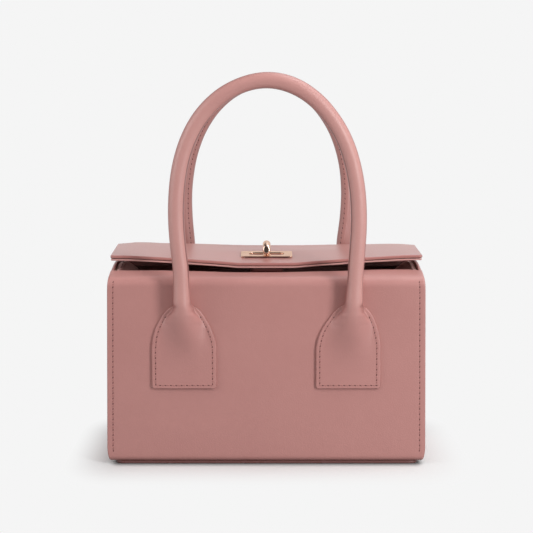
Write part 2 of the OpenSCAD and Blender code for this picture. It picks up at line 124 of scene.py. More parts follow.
class Shape:  # points, faces and edge wear of one piece while it is being built
    def __init__(self):
        self.points, self.faces, self.rims = [], [], []

    def point(self, place, rim=0.0):
        self.points.append(tuple(place))
        self.rims.append(rim)
        return len(self.points) - 1

    def row(self, places, rim=0.0):
        return [self.point(place, rim) for place in places]

    def ring(self, place, a, b, n):  # n places round an ellipse
        return self.row([place + a * cos(t) + b * sin(t) for t in circle(n)])

    def strip(self, a, b, closed=False):  # quads between two rows of point numbers
        for i in range(len(a) if closed else len(a) - 1):
            j = (i + 1) % len(a)
            self.faces.append((a[i], a[j], b[j], b[i]))

    def tube(self, rows, first=True, last=True):  # closed rows, with or without end faces
        for a, b in zip(rows, rows[1:]):
            self.strip(a, b, True)
        if first:
            self.faces.append(tuple(rows[0]))
        if last:
            self.faces.append(tuple(reversed(rows[-1])))

    def moved(self, move):
        self.points = [move(*p) for p in self.points]
        return self

    def mirrored(self, axis):  # axis None leaves it as it is
        if axis is None:
            return self
        other = Shape()
        other.points = [tuple(-c if k == axis else c for k, c in enumerate(p))
                        for p in self.points]
        other.faces = [tuple(reversed(f)) for f in self.faces]
        other.rims = list(self.rims)
        return other

    def add(self, other):
        first = len(self.points)
        self.points += other.points
        self.rims += other.rims
        self.faces += [tuple(first + k for k in f) for f in other.faces]
        return self


def keepValues(mesh, name, values):  # one value for each point, read by the materials
    mesh.attributes.new(name, "FLOAT", "POINT").data.foreach_set("value", values)


def makePiece(name, shape, material, slotName, body=None, *replaced):
    mesh = bpy.data.meshes.new(name)
    mesh.from_pydata([tuple(c * milli for c in p) for p in shape.points], [], shape.faces)
    sculpt = bmesh.new()
    sculpt.from_mesh(mesh)
    bmesh.ops.recalc_face_normals(sculpt, faces=sculpt.faces)
    for face in sculpt.faces:
        face.smooth = True
    sculpt.to_mesh(mesh)
    sculpt.free()
    keepValues(mesh, "rim", shape.rims)
    mesh.materials.append(material)
    piece = bpy.data.objects.new(name, mesh)
    scene.collection.objects.link(piece)
    if body:
        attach(piece, body)
    if replaced:
        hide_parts(*replaced)
    return piece


def sheetShape(us, vs, faceAt, edgeR, underR=0.3):
    # a sheet of leather: faceAt(u, v) gives the outer point, its normal and the thickness
    shape, tops, unders = Shape(), [], []
    for u, fromU in us:
        top, under = [], []
        for v, fromV in vs:
            place, normal, thick = faceAt(u, v)
            near = min(fromU, fromV)
            rim = 1 - smooth(0.1, edgeR * 1.25, near)
            top.append(shape.point(place - normal * edgeDrop(near, edgeR), rim))
            under.append(shape.point(place - normal * (thick - edgeDrop(near, underR)), rim))
        tops.append(top)
        unders.append(under)
    for k in range(len(tops) - 1):
        shape.strip(tops[k], tops[k + 1])
        shape.strip(unders[k + 1], unders[k])
    for k in (0, -1):
        shape.strip(tops[k], unders[k])
    for k in (0, -1):
        shape.strip([top[k] for top in tops], [under[k] for under in unders])
    return shape


# Shader node groups

class Nodes:  # short hand for filling a node tree
    def __init__(self, tree):
        self.tree = tree

    def add(self, kind, values=None, **settings):
        made = self.tree.nodes.new("ShaderNode" + kind)
        for key, value in settings.items():
            setattr(made, key, value)
        for key, value in (values or {}).items():
            self.put(made.inputs[key], value)
        return made

    def put(self, socket, value):
        if isinstance(value, bpy.types.NodeSocket):
            self.tree.links.new(value, socket)
        else:
            socket.default_value = value

    def math(self, operation, *values):
        return self.add("Math", dict(enumerate(values)), operation=operation).outputs[0]

    def plus(self, a, b):
        return self.math("ADD", a, b)

    def minus(self, a, b):
        return self.math("SUBTRACT", a, b)

    def times(self, a, b):
        return self.math("MULTIPLY", a, b)

    def between(self, value, low, high, outLow=0.0, outHigh=1.0):
        return self.add("MapRange", {
            "Value": value, "From Min": low, "From Max": high, "To Min": outLow,
            "To Max": outHigh}, interpolation_type="SMOOTHSTEP").outputs["Result"]

    def blendColour(self, factor, a, b, mode="MIX"):
        return self.add("Mix", {0: factor, 6: a, 7: b}, data_type="RGBA",
                        blend_type=mode).outputs[2]

    def place(self):
        return self.add("TexCoord").outputs["Object"]

    def kept(self, name):  # a value that the mesh keeps at its points
        return self.add("Attribute", attribute_name=name).outputs["Fac"]

    def noise(self, place, scale, detail, roughness=0.5, distortion=0.0):
        return self.add("TexNoise", {
            "Vector": place, "Scale": scale, "Detail": detail, "Roughness": roughness,
            "Distortion": distortion}).outputs["Fac"]

    def bump(self, height, strength, depth):  # depth in millimetres
        return self.add("Bump", {"Height": height, "Strength": strength,
                                 "Distance": depth * milli}).outputs[0]


def newGroup(name, inputs, outputs):  # sockets by name; a tuple stands for a colour
    tree = bpy.data.node_groups.new(name, "ShaderNodeTree")
    for way, sockets in (("INPUT", inputs), ("OUTPUT", outputs)):
        for label, value in sockets.items():
            kind = "NodeSocketColor" if isinstance(value, tuple) else "NodeSocketFloat"
            socket = tree.interface.new_socket(label, in_out=way, socket_type=kind)
            socket.default_value = value
    n = Nodes(tree)
    given = tree.nodes.new("NodeGroupInput").outputs
    return n, n.place(), given, tree.nodes.new("NodeGroupOutput").inputs


# leather grain: small pebbles with fine pores and slow waves under them
grainLook = {"wobble": 0.0012, "wobbleScale": 0.35, "soft": 0.35, "poreScale": 2.6,
             "waveScale": 55.0, "pebbles": 0.7, "pores": 0.5}
n, place, given, wanted = newGroup(
    "leatherGrain", {"Pebble Size": 0.0011, "Pebble Depth": 1.0, "Wave Depth": 0.5},
    {"Height": 0.0, "Valleys": 0.0})
scale = n.math("DIVIDE", 1.0, given["Pebble Size"])
wobble = n.add("TexNoise", {
    "Vector": place, "Scale": n.times(scale, grainLook["wobbleScale"]), "Detail": 2.0})
shift = n.add("VectorMath", {0: wobble.outputs["Color"], 1: (grainLook["wobble"],) * 3},
              operation="MULTIPLY")
bent = n.add("VectorMath", {0: place, 1: shift.outputs[0]}, operation="ADD")
cells = n.add("TexVoronoi", {"Vector": bent.outputs[0], "Scale": scale,
                             "Smoothness": grainLook["soft"]}, feature="SMOOTH_F1")
pebble = n.between(cells.outputs["Distance"], 0.15, 0.75, 1.0, 0.0)
pores = n.noise(place, n.times(scale, grainLook["poreScale"]), 3.0, 0.6)
waves = n.noise(place, grainLook["waveScale"], 2.0)
fine = n.plus(n.times(pebble, grainLook["pebbles"]), n.times(pores, grainLook["pores"]))
n.put(wanted["Height"], n.plus(n.times(fine, given["Pebble Depth"]),
                               n.times(waves, given["Wave Depth"])))
n.put(wanted["Valleys"], n.minus(1.0, pebble))

# slow drifts of shade over dyed leather, cloth or cord
driftLook = {"broad": 2.0, "smallScale": 9.0, "green": 1.35, "blue": 1.3}
n, place, given, wanted = newGroup(
    "shadeDrift", {"Colour": (0.5, 0.5, 0.5, 1), "Drift": 0.06, "Patch Size": 0.03},
    {"Colour": (0.5, 0.5, 0.5, 1), "Drift": 0.0})
scale = n.math("DIVIDE", 1.0, given["Patch Size"])
broad = n.noise(place, scale, 2.5)
small = n.noise(place, n.times(scale, driftLook["smallScale"]), 3.0)
drift = n.plus(n.times(n.minus(broad, 0.5), driftLook["broad"]), n.minus(small, 0.5))
light = n.plus(1.0, n.times(drift, given["Drift"]))
tint = n.add("CombineColor", {
    "Red": light, "Green": n.math("POWER", light, driftLook["green"]),
    "Blue": n.math("POWER", light, driftLook["blue"])})
n.put(wanted["Colour"], n.blendColour(1.0, given["Colour"], tint.outputs[0], "MULTIPLY"))
n.put(wanted["Drift"], drift)

# edges: the mesh keeps a value called rim, 1 on a cut or turned edge
n, place, given, wanted = newGroup("edgeFinish", {"Reach": 0.5, "Breaks": 0.25}, {"Edge": 0.0})
breaks = n.noise(place, 420.0, 2.0)
edge = n.plus(n.kept("rim"), n.times(n.minus(breaks, 0.5), given["Breaks"]))
n.put(wanted["Edge"], n.between(edge, given["Reach"], n.plus(given["Reach"], 0.4)))


def useGroup(n, name, values):
    made = n.add("Group")
    made.node_tree = bpy.data.node_groups[name]
    for key, value in values.items():
        n.put(made.inputs[key], value)
    return made.outputs


def emptyTree(owner):
    owner.use_nodes = True
    owner.node_tree.nodes.clear()
    return Nodes(owner.node_tree)


def makeMaterial(name, build, look):  # build(n, look) gives the shader's values
    material = bpy.data.materials.new(name)
    n = emptyTree(material)
    n.add("OutputMaterial", {"Surface": n.add("BsdfPrincipled", build(n, look)).outputs[0]})
    return material


# Leather: one look, and what each piece's leather changes in it

leatherLook = {"colour": (0.500, 0.232, 0.212, 1), "edgeColour": (0.450, 0.202, 0.184, 1),
               "roughness": 0.38, "roughDrift": 0.05, "drift": 0.045, "patch": 0.045,
               "pebble": 0.00085, "pebbleDepth": 0.55, "waveDepth": 1.6, "bump": 0.10,
               "ior": 1.5, "valleys": 0.10, "edgeShine": 0.10,
               "edgeReach": 0.35, "edgeBreaks": 0.2}
# painted light on the handles: a paler colour for the legs' sheen, a dark line for the shade
# inside the front handle's curve, and a darker rim where the surface turns away
handleLook = {"pulledColour": (0.570, 0.288, 0.262, 1), "seamColour": (0.12, 0.034, 0.030, 1),
              "rimColour": (0.36, 0.155, 0.140, 1), "rimReach": (0.35, 0.85)}
leatherChanges = {
    "pinkLeather": {},
    "lidLeather": {"colour": (0.475, 0.225, 0.205, 1), "edgeColour": (0.43, 0.185, 0.167, 1),
                   "roughness": 0.30, "waveDepth": 1.2},
    # painted highlight: a paler edge colour on the lid's lower layer
    "lidLowerLeather": {"edgeColour": (0.60, 0.33, 0.305, 1)},
    # painted light: a paler leather for the mouth's folds and side facings, which lie in the lid's
    # shade
    "foldLeather": {"colour": (0.64, 0.40, 0.37, 1), "edgeColour": (0.60, 0.36, 0.33, 1),
                    "roughness": 0.6},
    # painted shade: the base is coloured dark for the shade under the bag
    "baseLeather": {"colour": (0.22, 0.10, 0.092, 1), "edgeColour": (0.17, 0.07, 0.064, 1)},
    # painted shade: the tongue is coloured nearly black for the deep shade behind the front lip
    "tongueLeather": {"colour": (0.095, 0.022, 0.018, 1), "edgeColour": (0.06, 0.014, 0.012, 1),
                      "roughness": 0.8, "ior": 1.3},
    "innerLeather": {"colour": (0.33, 0.145, 0.130, 1), "edgeColour": (0.17, 0.060, 0.054, 1),
                     "roughness": 0.55},
    "handleLeather": handleLook,
    # painted shade: the rear handle's legs are coloured darker for the shade they lie in
    "rearHandleLeather": dict(handleLook, pulledColour=(0.455, 0.220, 0.200, 1)),
}


def leatherValues(n, look):
    grain = useGroup(n, "leatherGrain", {
        "Pebble Size": look["pebble"], "Pebble Depth": look["pebbleDepth"],
        "Wave Depth": look["waveDepth"]})
    shade = useGroup(n, "shadeDrift", {
        "Colour": look["colour"], "Drift": look["drift"], "Patch Size": look["patch"]})
    edge = useGroup(n, "edgeFinish", {
        "Reach": look["edgeReach"], "Breaks": look["edgeBreaks"]})["Edge"]
    dyed = shade["Colour"]
    if "pulledColour" in look:  # a handle: painted sheen on the legs (painted shade on the rear one), painted shade at its seam line and where its surface turns away at the rim
        turned = n.between(n.add("LayerWeight").outputs["Facing"], *look["rimReach"])
        for share, key in ((n.kept("pulled"), "pulledColour"), (n.kept("seam"), "seamColour"),
                           (turned, "rimColour")):
            dyed = n.blendColour(share, dyed, look[key])
    dyed = n.blendColour(n.times(grain["Valleys"], look["valleys"]), dyed, look["edgeColour"])
    rough = n.plus(look["roughness"], n.times(shade["Drift"], look["roughDrift"]))
    return {"Base Color": n.blendColour(edge, dyed, look["edgeColour"]),
            "Roughness": n.minus(rough, n.times(edge, look["edgeShine"])),
            "Normal": n.bump(grain["Height"], 1.0, look["bump"]), "IOR": look["ior"]}


leather = {name: makeMaterial(name, leatherValues, dict(leatherLook, **changes))
           for name, changes in leatherChanges.items()}
pink = leather["pinkLeather"]


# Cloth, board, cord and thread: one texture gives the shade, the roughness and the bump.
# wave: scale, distortion, detail and its scale; noise: scale, detail, roughness, distortion;
# share: how much of the second colour, even or between two values; drift: depth, patch size

threadLook = {"noise": (2600.0, 2.0), "share": (0.35, 0.65), "bump": (0.7, 0.06)}
plainLooks = {
    "liningTwill": {
        "wave": (0.314 / 0.0011, 0.6, 1.0, 2.0), "colour": (0.22, 0.115, 0.108, 1),
        "second": (0.33, 0.18, 0.17, 1), "share": 0.35, "drift": (0.08, 0.02),
        "roughness": (0.0, 1.0, 0.85, 0.72), "bump": (0.6, 0.12)},
    "bondedBoard": {
        "noise": (900.0, 6.0, 0.7, 1.5), "colour": (0.42, 0.34, 0.26, 1),
        "second": (0.27, 0.20, 0.14, 1), "share": (0.4, 0.7), "drift": (0.10, 0.012),
        "roughness": (0.3, 0.7, 0.8, 0.95), "bump": (0.6, 0.15)},
    "cottonCord": {
        "wave": (180.0, 1.2, 2.0, 1.0), "colour": (0.70, 0.66, 0.58, 1),
        "second": (0.50, 0.45, 0.37, 1), "share": 0.4, "drift": (0.06, 0.01),
        "roughness": (0.0, 1.0, 0.9, 0.8), "bump": (0.8, 0.4)},
    "pinkThread": dict(
        threadLook, colour=(0.43, 0.185, 0.168, 1), second=(0.34, 0.14, 0.125, 1),
        roughness=(0.3, 0.7, 0.6, 0.8)),
    # painted shade: dark marks for the needle holes
    "needleMark": dict(
        threadLook, colour=(0.150, 0.048, 0.042, 1), second=(0.10, 0.032, 0.028, 1),
        roughness=(0.3, 0.7, 0.7, 0.8)),
}


def plainValues(n, look):
    if "wave" in look:
        keys = ("Vector", "Scale", "Distortion", "Detail", "Detail Scale")
        texture = n.add("TexWave", dict(zip(keys, (n.place(),) + look["wave"])),
                        bands_direction="DIAGONAL").outputs["Fac"]
        share = n.times(texture, look["share"])
    else:
        texture = n.noise(n.place(), *look["noise"])
        share = n.between(texture, *look["share"])
    colour = look["colour"]
    if "drift" in look:
        colour = useGroup(n, "shadeDrift", {
            "Colour": colour, "Drift": look["drift"][0], "Patch Size": look["drift"][1]})["Colour"]
    return {"Base Color": n.blendColour(share, colour, look["second"]),
            "Roughness": n.between(texture, *look["roughness"]),
            "Normal": n.bump(texture, *look["bump"])}


lining, board, cord, thread, needleMark = (
    makeMaterial(name, plainValues, look) for name, look in plainLooks.items())

# Pale gold: bright plating with faint polishing marks, duller where it is hazy

goldLook = {"colour": (0.80, 0.585, 0.475, 1), "worn": (0.70, 0.48, 0.36, 1),
            "edgeTint": (0.90, 0.76, 0.68, 1), "roughness": 0.14, "haze": 0.07,
            "stretch": (1.0, 14.0, 1.0), "marks": (900.0, 3.0, 0.6), "patches": (260.0, 3.0),
            "hazy": (0.45, 0.8), "bump": (0.25, 0.02)}


def goldValues(n, look):
    place = n.place()
    drawn = n.add("Mapping", {"Vector": place, "Scale": look["stretch"]}).outputs[0]
    marks, haze = n.noise(drawn, *look["marks"]), n.noise(place, *look["patches"])
    return {"Base Color": n.blendColour(n.between(haze, *look["hazy"]), look["colour"],
                                        look["worn"]),
            "Roughness": n.plus(look["roughness"], n.times(n.plus(marks, haze), look["haze"])),
            "Normal": n.bump(marks, *look["bump"]), "Metallic": 1.0,
            "Specular Tint": look["edgeTint"]}


gold = makeMaterial("paleGold", goldValues, goldLook)
print("materials ready")


# Walls: every layer of the front and back follows one section, foot to lip

wall = {
    "halfDepth": 48.0, "lipY": 30.0, "lipZ": 135.0, "shoulderR": 7.0, "slope": 9.0,
    "footR": 4.0, "baseT": 2.2,
    "halfWidth": 110.0, "flare": 1.8,  # the bag is a little wider at its base
    "cornerFall": 2.5, "cornerHeight": 13.0,  # lower corners of the panels
    "lean": 0.4, "leanStart": 122.0, "leanRise": 13,  # the side walls lean in at the top
    "pillow": 0.7, "pillowX": (0, 108), "pillowZ": (64, 66), "leftMore": 0.5,
    "stitchIn": 4.1, "channelR": 0.45,  # stitch line from the panel's edge
}
# the front lip dips in the middle, where the lock has been pressed down: (x, rise)
lipRise = [(-110, 0.6), (-75, 0.7), (-48, 0.1), (-40, -0.15), (-31, -0.5), (-23, -0.7),
           (-5, -0.8), (10, -0.7), (26, -0.3), (35, 0.0), (48, 0.15), (73, 1.1), (81, 1.3),
           (97, 1.4), (104, 1.0), (110, 0.8)]
halfDepth, shoulderR, footR = wall["halfDepth"], wall["shoulderR"], wall["footR"]
leanAngle = radians(90 - wall["slope"])
slopeNy, slopeNz = cos(leanAngle), sin(leanAngle)  # normal of the slope
shoulderY, footZ = halfDepth - shoulderR, wall["baseT"] + footR
slopeLength = (shoulderY + shoulderR * slopeNy - wall["lipY"]) / slopeNz
shoulderZ = wall["lipZ"] - shoulderR * slopeNz - slopeLength * slopeNy
footLength, wallLength, bendLength = footR * pi / 2, shoulderZ - footZ, shoulderR * leanAngle
bendStart = footLength + wallLength
slopeStart = bendStart + bendLength
lipStart = slopeStart + slopeLength  # length of the whole section
wallSteps = (evenSteps(0, footLength, 6) + evenSteps(footLength, wallLength, 58)
             + evenSteps(bendStart, bendLength, 10) + evenSteps(slopeStart, slopeLength, 6)
             + [lipStart - d for d in (1.2, 0.7, 0.35, 0.12, 0)])


def wallAt(v):  # (y, z) and normal of the back wall's outer face, v along it from the foot
    if footLength <= v < bendStart:
        return halfDepth, footZ + v - footLength, 1.0, 0.0
    y, z, r, a = halfDepth - footR, footZ, footR, v / footR - pi / 2
    if v >= bendStart:
        y, z, r, a = shoulderY, shoulderZ, shoulderR, min((v - bendStart) / shoulderR, leanAngle)
    ny, nz, along = cos(a), sin(a), max(v - slopeStart, 0)
    return y + r * ny - along * nz, z + r * nz + along * ny, ny, nz


def leanAt(z):
    return wall["lean"] * max(0.0, (z - wall["leanStart"]) / wall["leanRise"]) ** 1.5


def bagHalfWidth(z):  # outline of the bag seen from the front
    low = max(0.0, 1 - z / wall["cornerHeight"])
    return (wall["halfWidth"] + wall["flare"] * (1 - z / wall["lipZ"])
            - wall["cornerFall"] * low * low - leanAt(z))


def pillowAt(x, z):  # how far the front and back swell out over their boards
    return wall["pillow"] * hump(x, *wall["pillowX"]) * hump(z, *wall["pillowZ"])


def narrowed(inset, slopeInset):  # half width of a layer, less again on the slope
    return lambda v, z: (bagHalfWidth(z) - inset
                         - slopeInset * smooth(bendStart + 1.5, slopeStart + 1, v))


def wallSheet(lipShare, outDepth, inDepth, halfWidthAt, low, high, edgeR, channel=0.0, over=0.0):
    steps = sorted(v for v in set(wallSteps) | {low, high} if low <= v <= high)
    vs = [(v, min(v - low, high - v) if low > 0 else high - v) for v in steps]
    near = (0.12, 0.35, 0.7, 1.2, 2.0, 3.0, 3.6, 3.85, 4.1, 4.35, 4.6, 5.2, 7, 10, 15)
    full, lineIn, channelR = wall["halfWidth"], wall["stitchIn"], wall["channelR"]

    def faceAt(u, v):
        y, z, ny, nz = wallAt(v)
        x = u * (halfWidthAt(v, z) + (wall["leftMore"] if u < 0 else 0)) / full
        folded = over * smooth(high - 2.3, high - 1.3, v)  # over the board's top edge
        run = within(v, footLength, footLength + 2, bendStart, slopeStart)
        sunk = channel * run * exp(-((full - abs(u) - lineIn) / channelR) ** 2)
        out = pillowAt(x, z) * max(ny, 0.0) - outDepth + folded - sunk
        z += lipShare * fromTable(lipRise, x) * smooth(bendStart + 4, lipStart - 3, v)
        return (Vector((x, y + ny * out, z + nz * out)), Vector((0, ny, nz)),
                inDepth - outDepth + folded)
    return sheetShape(stepsAlong(-full, full, 7.0, near), vs, faceAt, edgeR)


panelHalfWidth = narrowed(0, 0.2)
# depths of both faces, half width, start, end, edge, channel of the stitches, fold at the lip
wallLayers = (
    ("Panel", (0.0, 1.6, panelHalfWidth, 0.0, lipStart, 0.9, 0.12), pink, "leather"),
    ("Board", (1.65, 3.15, narrowed(2.1, 4.0), 0.0, lipStart - 1.2, 0.3), board, "board"),
    ("Facing", (3.2, 4.8, lambda v, z: 103.9 - leanAt(z), footLength + 98.8, lipStart - 0.1,
                0.5, 0.0, 1.5), leather["innerLeather"], "inner_leather"))
for side, axis in (("back", None), ("front", 1)):
    for part, measures, material, slotName in wallLayers:
        makePiece(side + part, wallSheet(0.0 if axis is None else 1.0, *measures).mirrored(axis),
                  material, slotName, "root", side + "_" + part.lower())
print("front and back walls built")


# Side walls, in the same section, filled from foot to crown

sideWall = {"crownRise": 2.0, "grooveDepth": 0.5, "leatherT": 2.2,
            "soft": 0.9, "softZ": (66, 64), "flush": 1.3, "flushZ": (124, 131)}


def sideTop(y, d, top):  # upper outline at depth d inside the wall's section
    y, r = abs(y), shoulderR - d
    bendY, bendZ = shoulderY + r * slopeNy, shoulderZ + r * slopeNz
    inY, inZ = bendY - slopeLength * slopeNz, bendZ + slopeLength * slopeNy
    if y >= bendY:
        return shoulderZ + sqrt(max(r * r - (y - shoulderY) ** 2, 0.0))
    if y >= inY:
        return bendZ + (bendY - y) * slopeNy / slopeNz
    return mix(inZ, top, 1 - (y / inY) ** 2)


def sideLow(y, d):
    r = max(footR - d, 0.4)
    return footZ - r + edgeDrop(r - max(abs(y) - halfDepth + footR, 0.0), r)


def sideSheet(outX, thick, d, top, low=None, swell=0.0, edgeR=0.6, flush=0.0):
    reach = halfDepth - d
    ts = [0, 0.001, 0.0028, 0.0055, 0.009] + evenSteps(0.015, 0.97, 54)
    ts += [0.985, 0.991, 0.9945, 0.9972, 0.999, 1]

    def faceAt(y, t):
        z = mix(sideLow(y, d) if low is None else low, sideTop(y, d, top), t)
        away = hump(y, 0, reach, 2) * hump(z, *sideWall["softZ"])
        x = outX - (wall["halfWidth"] - bagHalfWidth(z)) + swell * away
        rise = flush * smooth(*sideWall["flushZ"], z) * t
        return Vector((x, y, z + rise)), Vector((1, 0, 0)), thick
    return sheetShape(stepsAlong(-reach, reach, 2.6, (0.1, 0.3, 0.6, 1.0, 1.5, 2.0)),
                      [(t, min(t, 1 - t) * 128) for t in ts], faceAt, edgeR)


# inside the mouth each side is padded: its leather rolls inwards and back to the lining
mouthFold = {"fromX": 105.0, "deep": 18.0, "topZ": 135.8, "fall": 27.0, "halfY": 28.0,
             "thick": 1.2, "narrow": 0.3}


def mouthFoldAt(y, s):
    fall = mouthFold["fall"]
    deep = mouthFold["deep"] * (1 - mouthFold["narrow"] * (y / mouthFold["halfY"]) ** 2)
    facing = Vector((-fall, 0, deep * pi * cos(pi * s))).normalized()
    return (Vector((mouthFold["fromX"] - deep * sin(pi * s), y,
                    mouthFold["topZ"] - fall * s)), facing, mouthFold["thick"])


crownZ = wall["lipZ"] + sideWall["crownRise"]
foldPink = leather["foldLeather"]
sideLayers = (
    ("Gusset", sideSheet(109.6, sideWall["leatherT"], 1.62, crownZ, swell=sideWall["soft"],
                         edgeR=0.7, flush=sideWall["flush"]), pink, "leather"),
    ("Board", sideSheet(107.5, 1.3, 3.25, crownZ - sideWall["grooveDepth"], edgeR=0.3),
     board, "board"),
    ("Facing", sideSheet(106.2, 2.2, 3.25, crownZ, low=105.0, edgeR=0.8), foldPink,
     "inner_leather"))
foldShape = sheetShape(stepsAlong(-mouthFold["halfY"], mouthFold["halfY"], 2.8),
                       [(i / 24, 9.0) for i in range(25)], mouthFoldAt, 0.5)
for side, axis in (("right", None), ("left", 0)):
    for part, shape, material, slotName in sideLayers:
        shape = shape.mirrored(axis)
        if side == "left":
            shape.moved(lambda x, y, z: (x - wall["leftMore"], y, z))
        makePiece(side + part, shape, material, slotName, "root", side + "_" + part.lower())
for side, axis in (("right", None), ("left", 0)):
    makePiece(side + "MouthFold", foldShape.mirrored(axis), foldPink, "inner_leather", "root")
print("side walls built")


# Lining: one soft cloth shell inside the boards

liningBag = {"halfX": 105.9, "halfY": 44.3, "floorZ": 7.6, "topZ": 105.4, "cornerR": 9.0,
             "floorR": 2.5, "sag": 0.7, "sagRise": (4, 30, 84, 97), "thick": 0.6,
             "count": 96, "power": 14.0}


def liningLoop(halfX, halfY, a):  # a rounded rectangle seen from above
    c, s, power, r = cos(a), sin(a), liningBag["power"], liningBag["cornerR"]
    q = (abs(c) ** power + abs(s) ** power) ** (-1 / power)
    x, y = q * c * halfX, q * s * halfY
    dx, dy = abs(x) - halfX + r, abs(y) - halfY + r
    far = hypot(dx, dy)
    if dx > 0 and dy > 0 and far > r:
        x = copysign(halfX - r + dx * r / far, x)
        y = copysign(halfY - r + dy * r / far, y)
    return x, y


def liningShape():
    shape, look, rows = Shape(), liningBag, []
    r = look["floorR"]
    levels = [(0.0, share) for share in (0.25, 0.55, 0.82, 0.94)]
    levels += [(r * (1 - cos(a * pi / 12)), None) for a in range(7)]
    levels += [(r + 5.2 * i, None) for i in range(1, 19)]
    for rise, share in levels + [(look["topZ"] - look["floorZ"], None)]:
        row = []
        for a in circle(look["count"], 0.5):
            bulge = look["sag"] * sin(rise * 0.09 + 5 * a) * sin(2 * a + 0.7)
            bulge *= within(rise, *look["sagRise"])
            inset = look["thick"] - min(bulge, 0.4) + (edgeDrop(rise, r) if share is None else 0)
            x, y = liningLoop(look["halfX"] - inset, look["halfY"] - inset, a)
            k = 1 if share is None else share * 0.98
            row.append(shape.point((x * k, y * k, look["floorZ"] + rise)))
        rows.append(row)
    shape.tube(rows, last=False)
    return shape


liningPiece = makePiece("liningBag", liningShape(), lining, "lining")
thicken = liningPiece.modifiers.new("clothThickness", "SOLIDIFY")
thicken.thickness = liningBag["thick"] * milli
thicken.offset = 0
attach(liningPiece, "root")
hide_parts("front_lining", "back_lining", "left_lining", "right_lining",
            "base_lining")


# Base: a leather plate that the bag stands on

basePlate = {"halfX": 106.8, "halfY": 45.9, "cornerR": 5.0, "edgeR": 0.7, "thick": 2.2}


def roundedLoop(halfX, halfY, r, count):  # even steps round a rounded rectangle
    r = min(r, halfX - 1e-3, halfY - 1e-3)
    straight, arc = [2 * (halfY - r), 2 * (halfX - r)] * 2, pi / 2 * r
    total = sum(straight) + 4 * arc
    corners = [(sx * (halfX - r), sy * (halfY - r))
               for sx, sy in ((1, 1), (-1, 1), (-1, -1), (1, -1))]
    loop = []
    for s in evenSteps(straight[0] / 2, total, count):  # from the middle of the +x side
        s %= total
        for k, side in enumerate(straight):
            a, (x, y) = k * pi / 2, corners[k - 1]
            if s < side:
                break
            s -= side
            if s < arc:
                a, s, (x, y) = a + s / r, 0.0, corners[k]
                break
            s -= arc
        loop.append((x + r * cos(a) - s * sin(a), y + r * sin(a) + s * cos(a)))
    return loop


def rectangle(halfX, halfY, r, count, cornerShare=1.0):  # its outline, set in or out
    return lambda inset: roundedLoop(halfX - inset, halfY - inset, r - inset * cornerShare, count)


# a quarter turn for rounded edges: how far in, how far down, and wear
quarterTurn = [(1 - cos(a), 1 - sin(a), 1 - a / 2) for a in (pi / 10 * i for i in range(6))]


def plateShape(loopAt, low, high, edgeR, underR=None, hole=None, holeLow=0.0, draft=0.0):
    # a plate with rounded edges; loopAt(inset) gives its outline and hole(inset) its hole
    shape, rows = Shape(), []
    underR = edgeR if underR is None else underR

    def row(loop, z, rim=1, share=1):
        rows.append(shape.row([(x * share, y * share, z) for x, y in loop], rim))
    shares = () if hole else (0.02, 0.35, 0.7, 0.9)
    if hole:
        for c, s, _ in quarterTurn:
            row(hole(-underR * s), holeLow + underR * c)
        for c, s, _ in quarterTurn:
            row(hole(-draft - edgeR * 0.5 * c), high - edgeR * 0.5 * s)
    for share in shares:
        row(loopAt(edgeR), high, 0, share)
    for c, s, rim in reversed(quarterTurn):
        row(loopAt(edgeR * c), high - edgeR * s, rim)
    for c, s, _ in quarterTurn:
        row(loopAt(underR * c), low + underR * s)
    for share in reversed(shares):
        row(loopAt(underR), low, 0, share)
    shape.tube(rows, not hole, not hole)
    if hole:
        shape.strip(rows[-1], rows[0], True)
    return shape


makePiece("basePanel", plateShape(
    rectangle(basePlate["halfX"], basePlate["halfY"], basePlate["cornerR"], 160), 0.0,
    basePlate["thick"], basePlate["edgeR"]), leather["baseLeather"], "leather", "root",
    "base_panel")
print("lining and base built")


# Lid: two leather layers that bow down along the front, with a rolled rear edge

lid = {
    "halfX": 109.75, "frontY": -28.0, "hingeY": 29.2, "hingeZ": 145.7, "rollR": 1.8,
    "fall": 3.0, "bow": 4.1, "flat": 20.0, "coverT": 2.0, "rollT": 1.5, "rollTurn": 235,
    "cornerR": 2.2, "endDroop": 0.9, "edgeR": 0.75,
    "underT": 1.25, "underDrop": 2.55, "underInset": 0.25, "underR": 1.8, "seamY": 27.0,
    "boardT": 1.0, "boardDrop": 1.8, "droopX": (82, 28),
    "wider": (0.1, 0.65, 0.4),  # at the front, more at the back, and more on the left
    # the underside is pressed flat and thin round the washer
    "washerY": -6.5, "pressX": (21, 32), "pressY": (11, 20), "pressT": 0.3,
}
# the lid is a little warped: (x, rise) along its rear and its front edge
rearRise = [(-110, 0.6), (-103, 0.75), (-97, 1.1), (-87, 0.75), (-79, 0.2), (-51, -0.3),
            (-42, -0.6), (-33, -0.9), (-24, -1.2), (-12, -1.4), (25, -1.4), (37, -1.2),
            (50, -0.9), (77, -0.6), (95, -0.15), (101, -0.05), (104, -0.3), (110, -0.3)]
frontRise = [(-110, 1.2), (-98, 1.2), (-82, 0.7), (-70, 0.4), (-48, 0.05), (0, 0.0),
             (48, 0.1), (73, 0.7), (83, 0.9), (90, 1.2), (98, 1.5), (110, 1.6)]
lidX, hingeY, frontY = lid["halfX"], lid["hingeY"], lid["frontY"]
lidRun = hingeY - frontY


def lidWarp(x, y):
    back = (y - frontY) / lidRun
    late = mix(smooth(0.55, 1, back), back, smooth(40, 90, abs(x)))
    return mix(fromTable(frontRise, x), fromTable(rearRise, x), late)


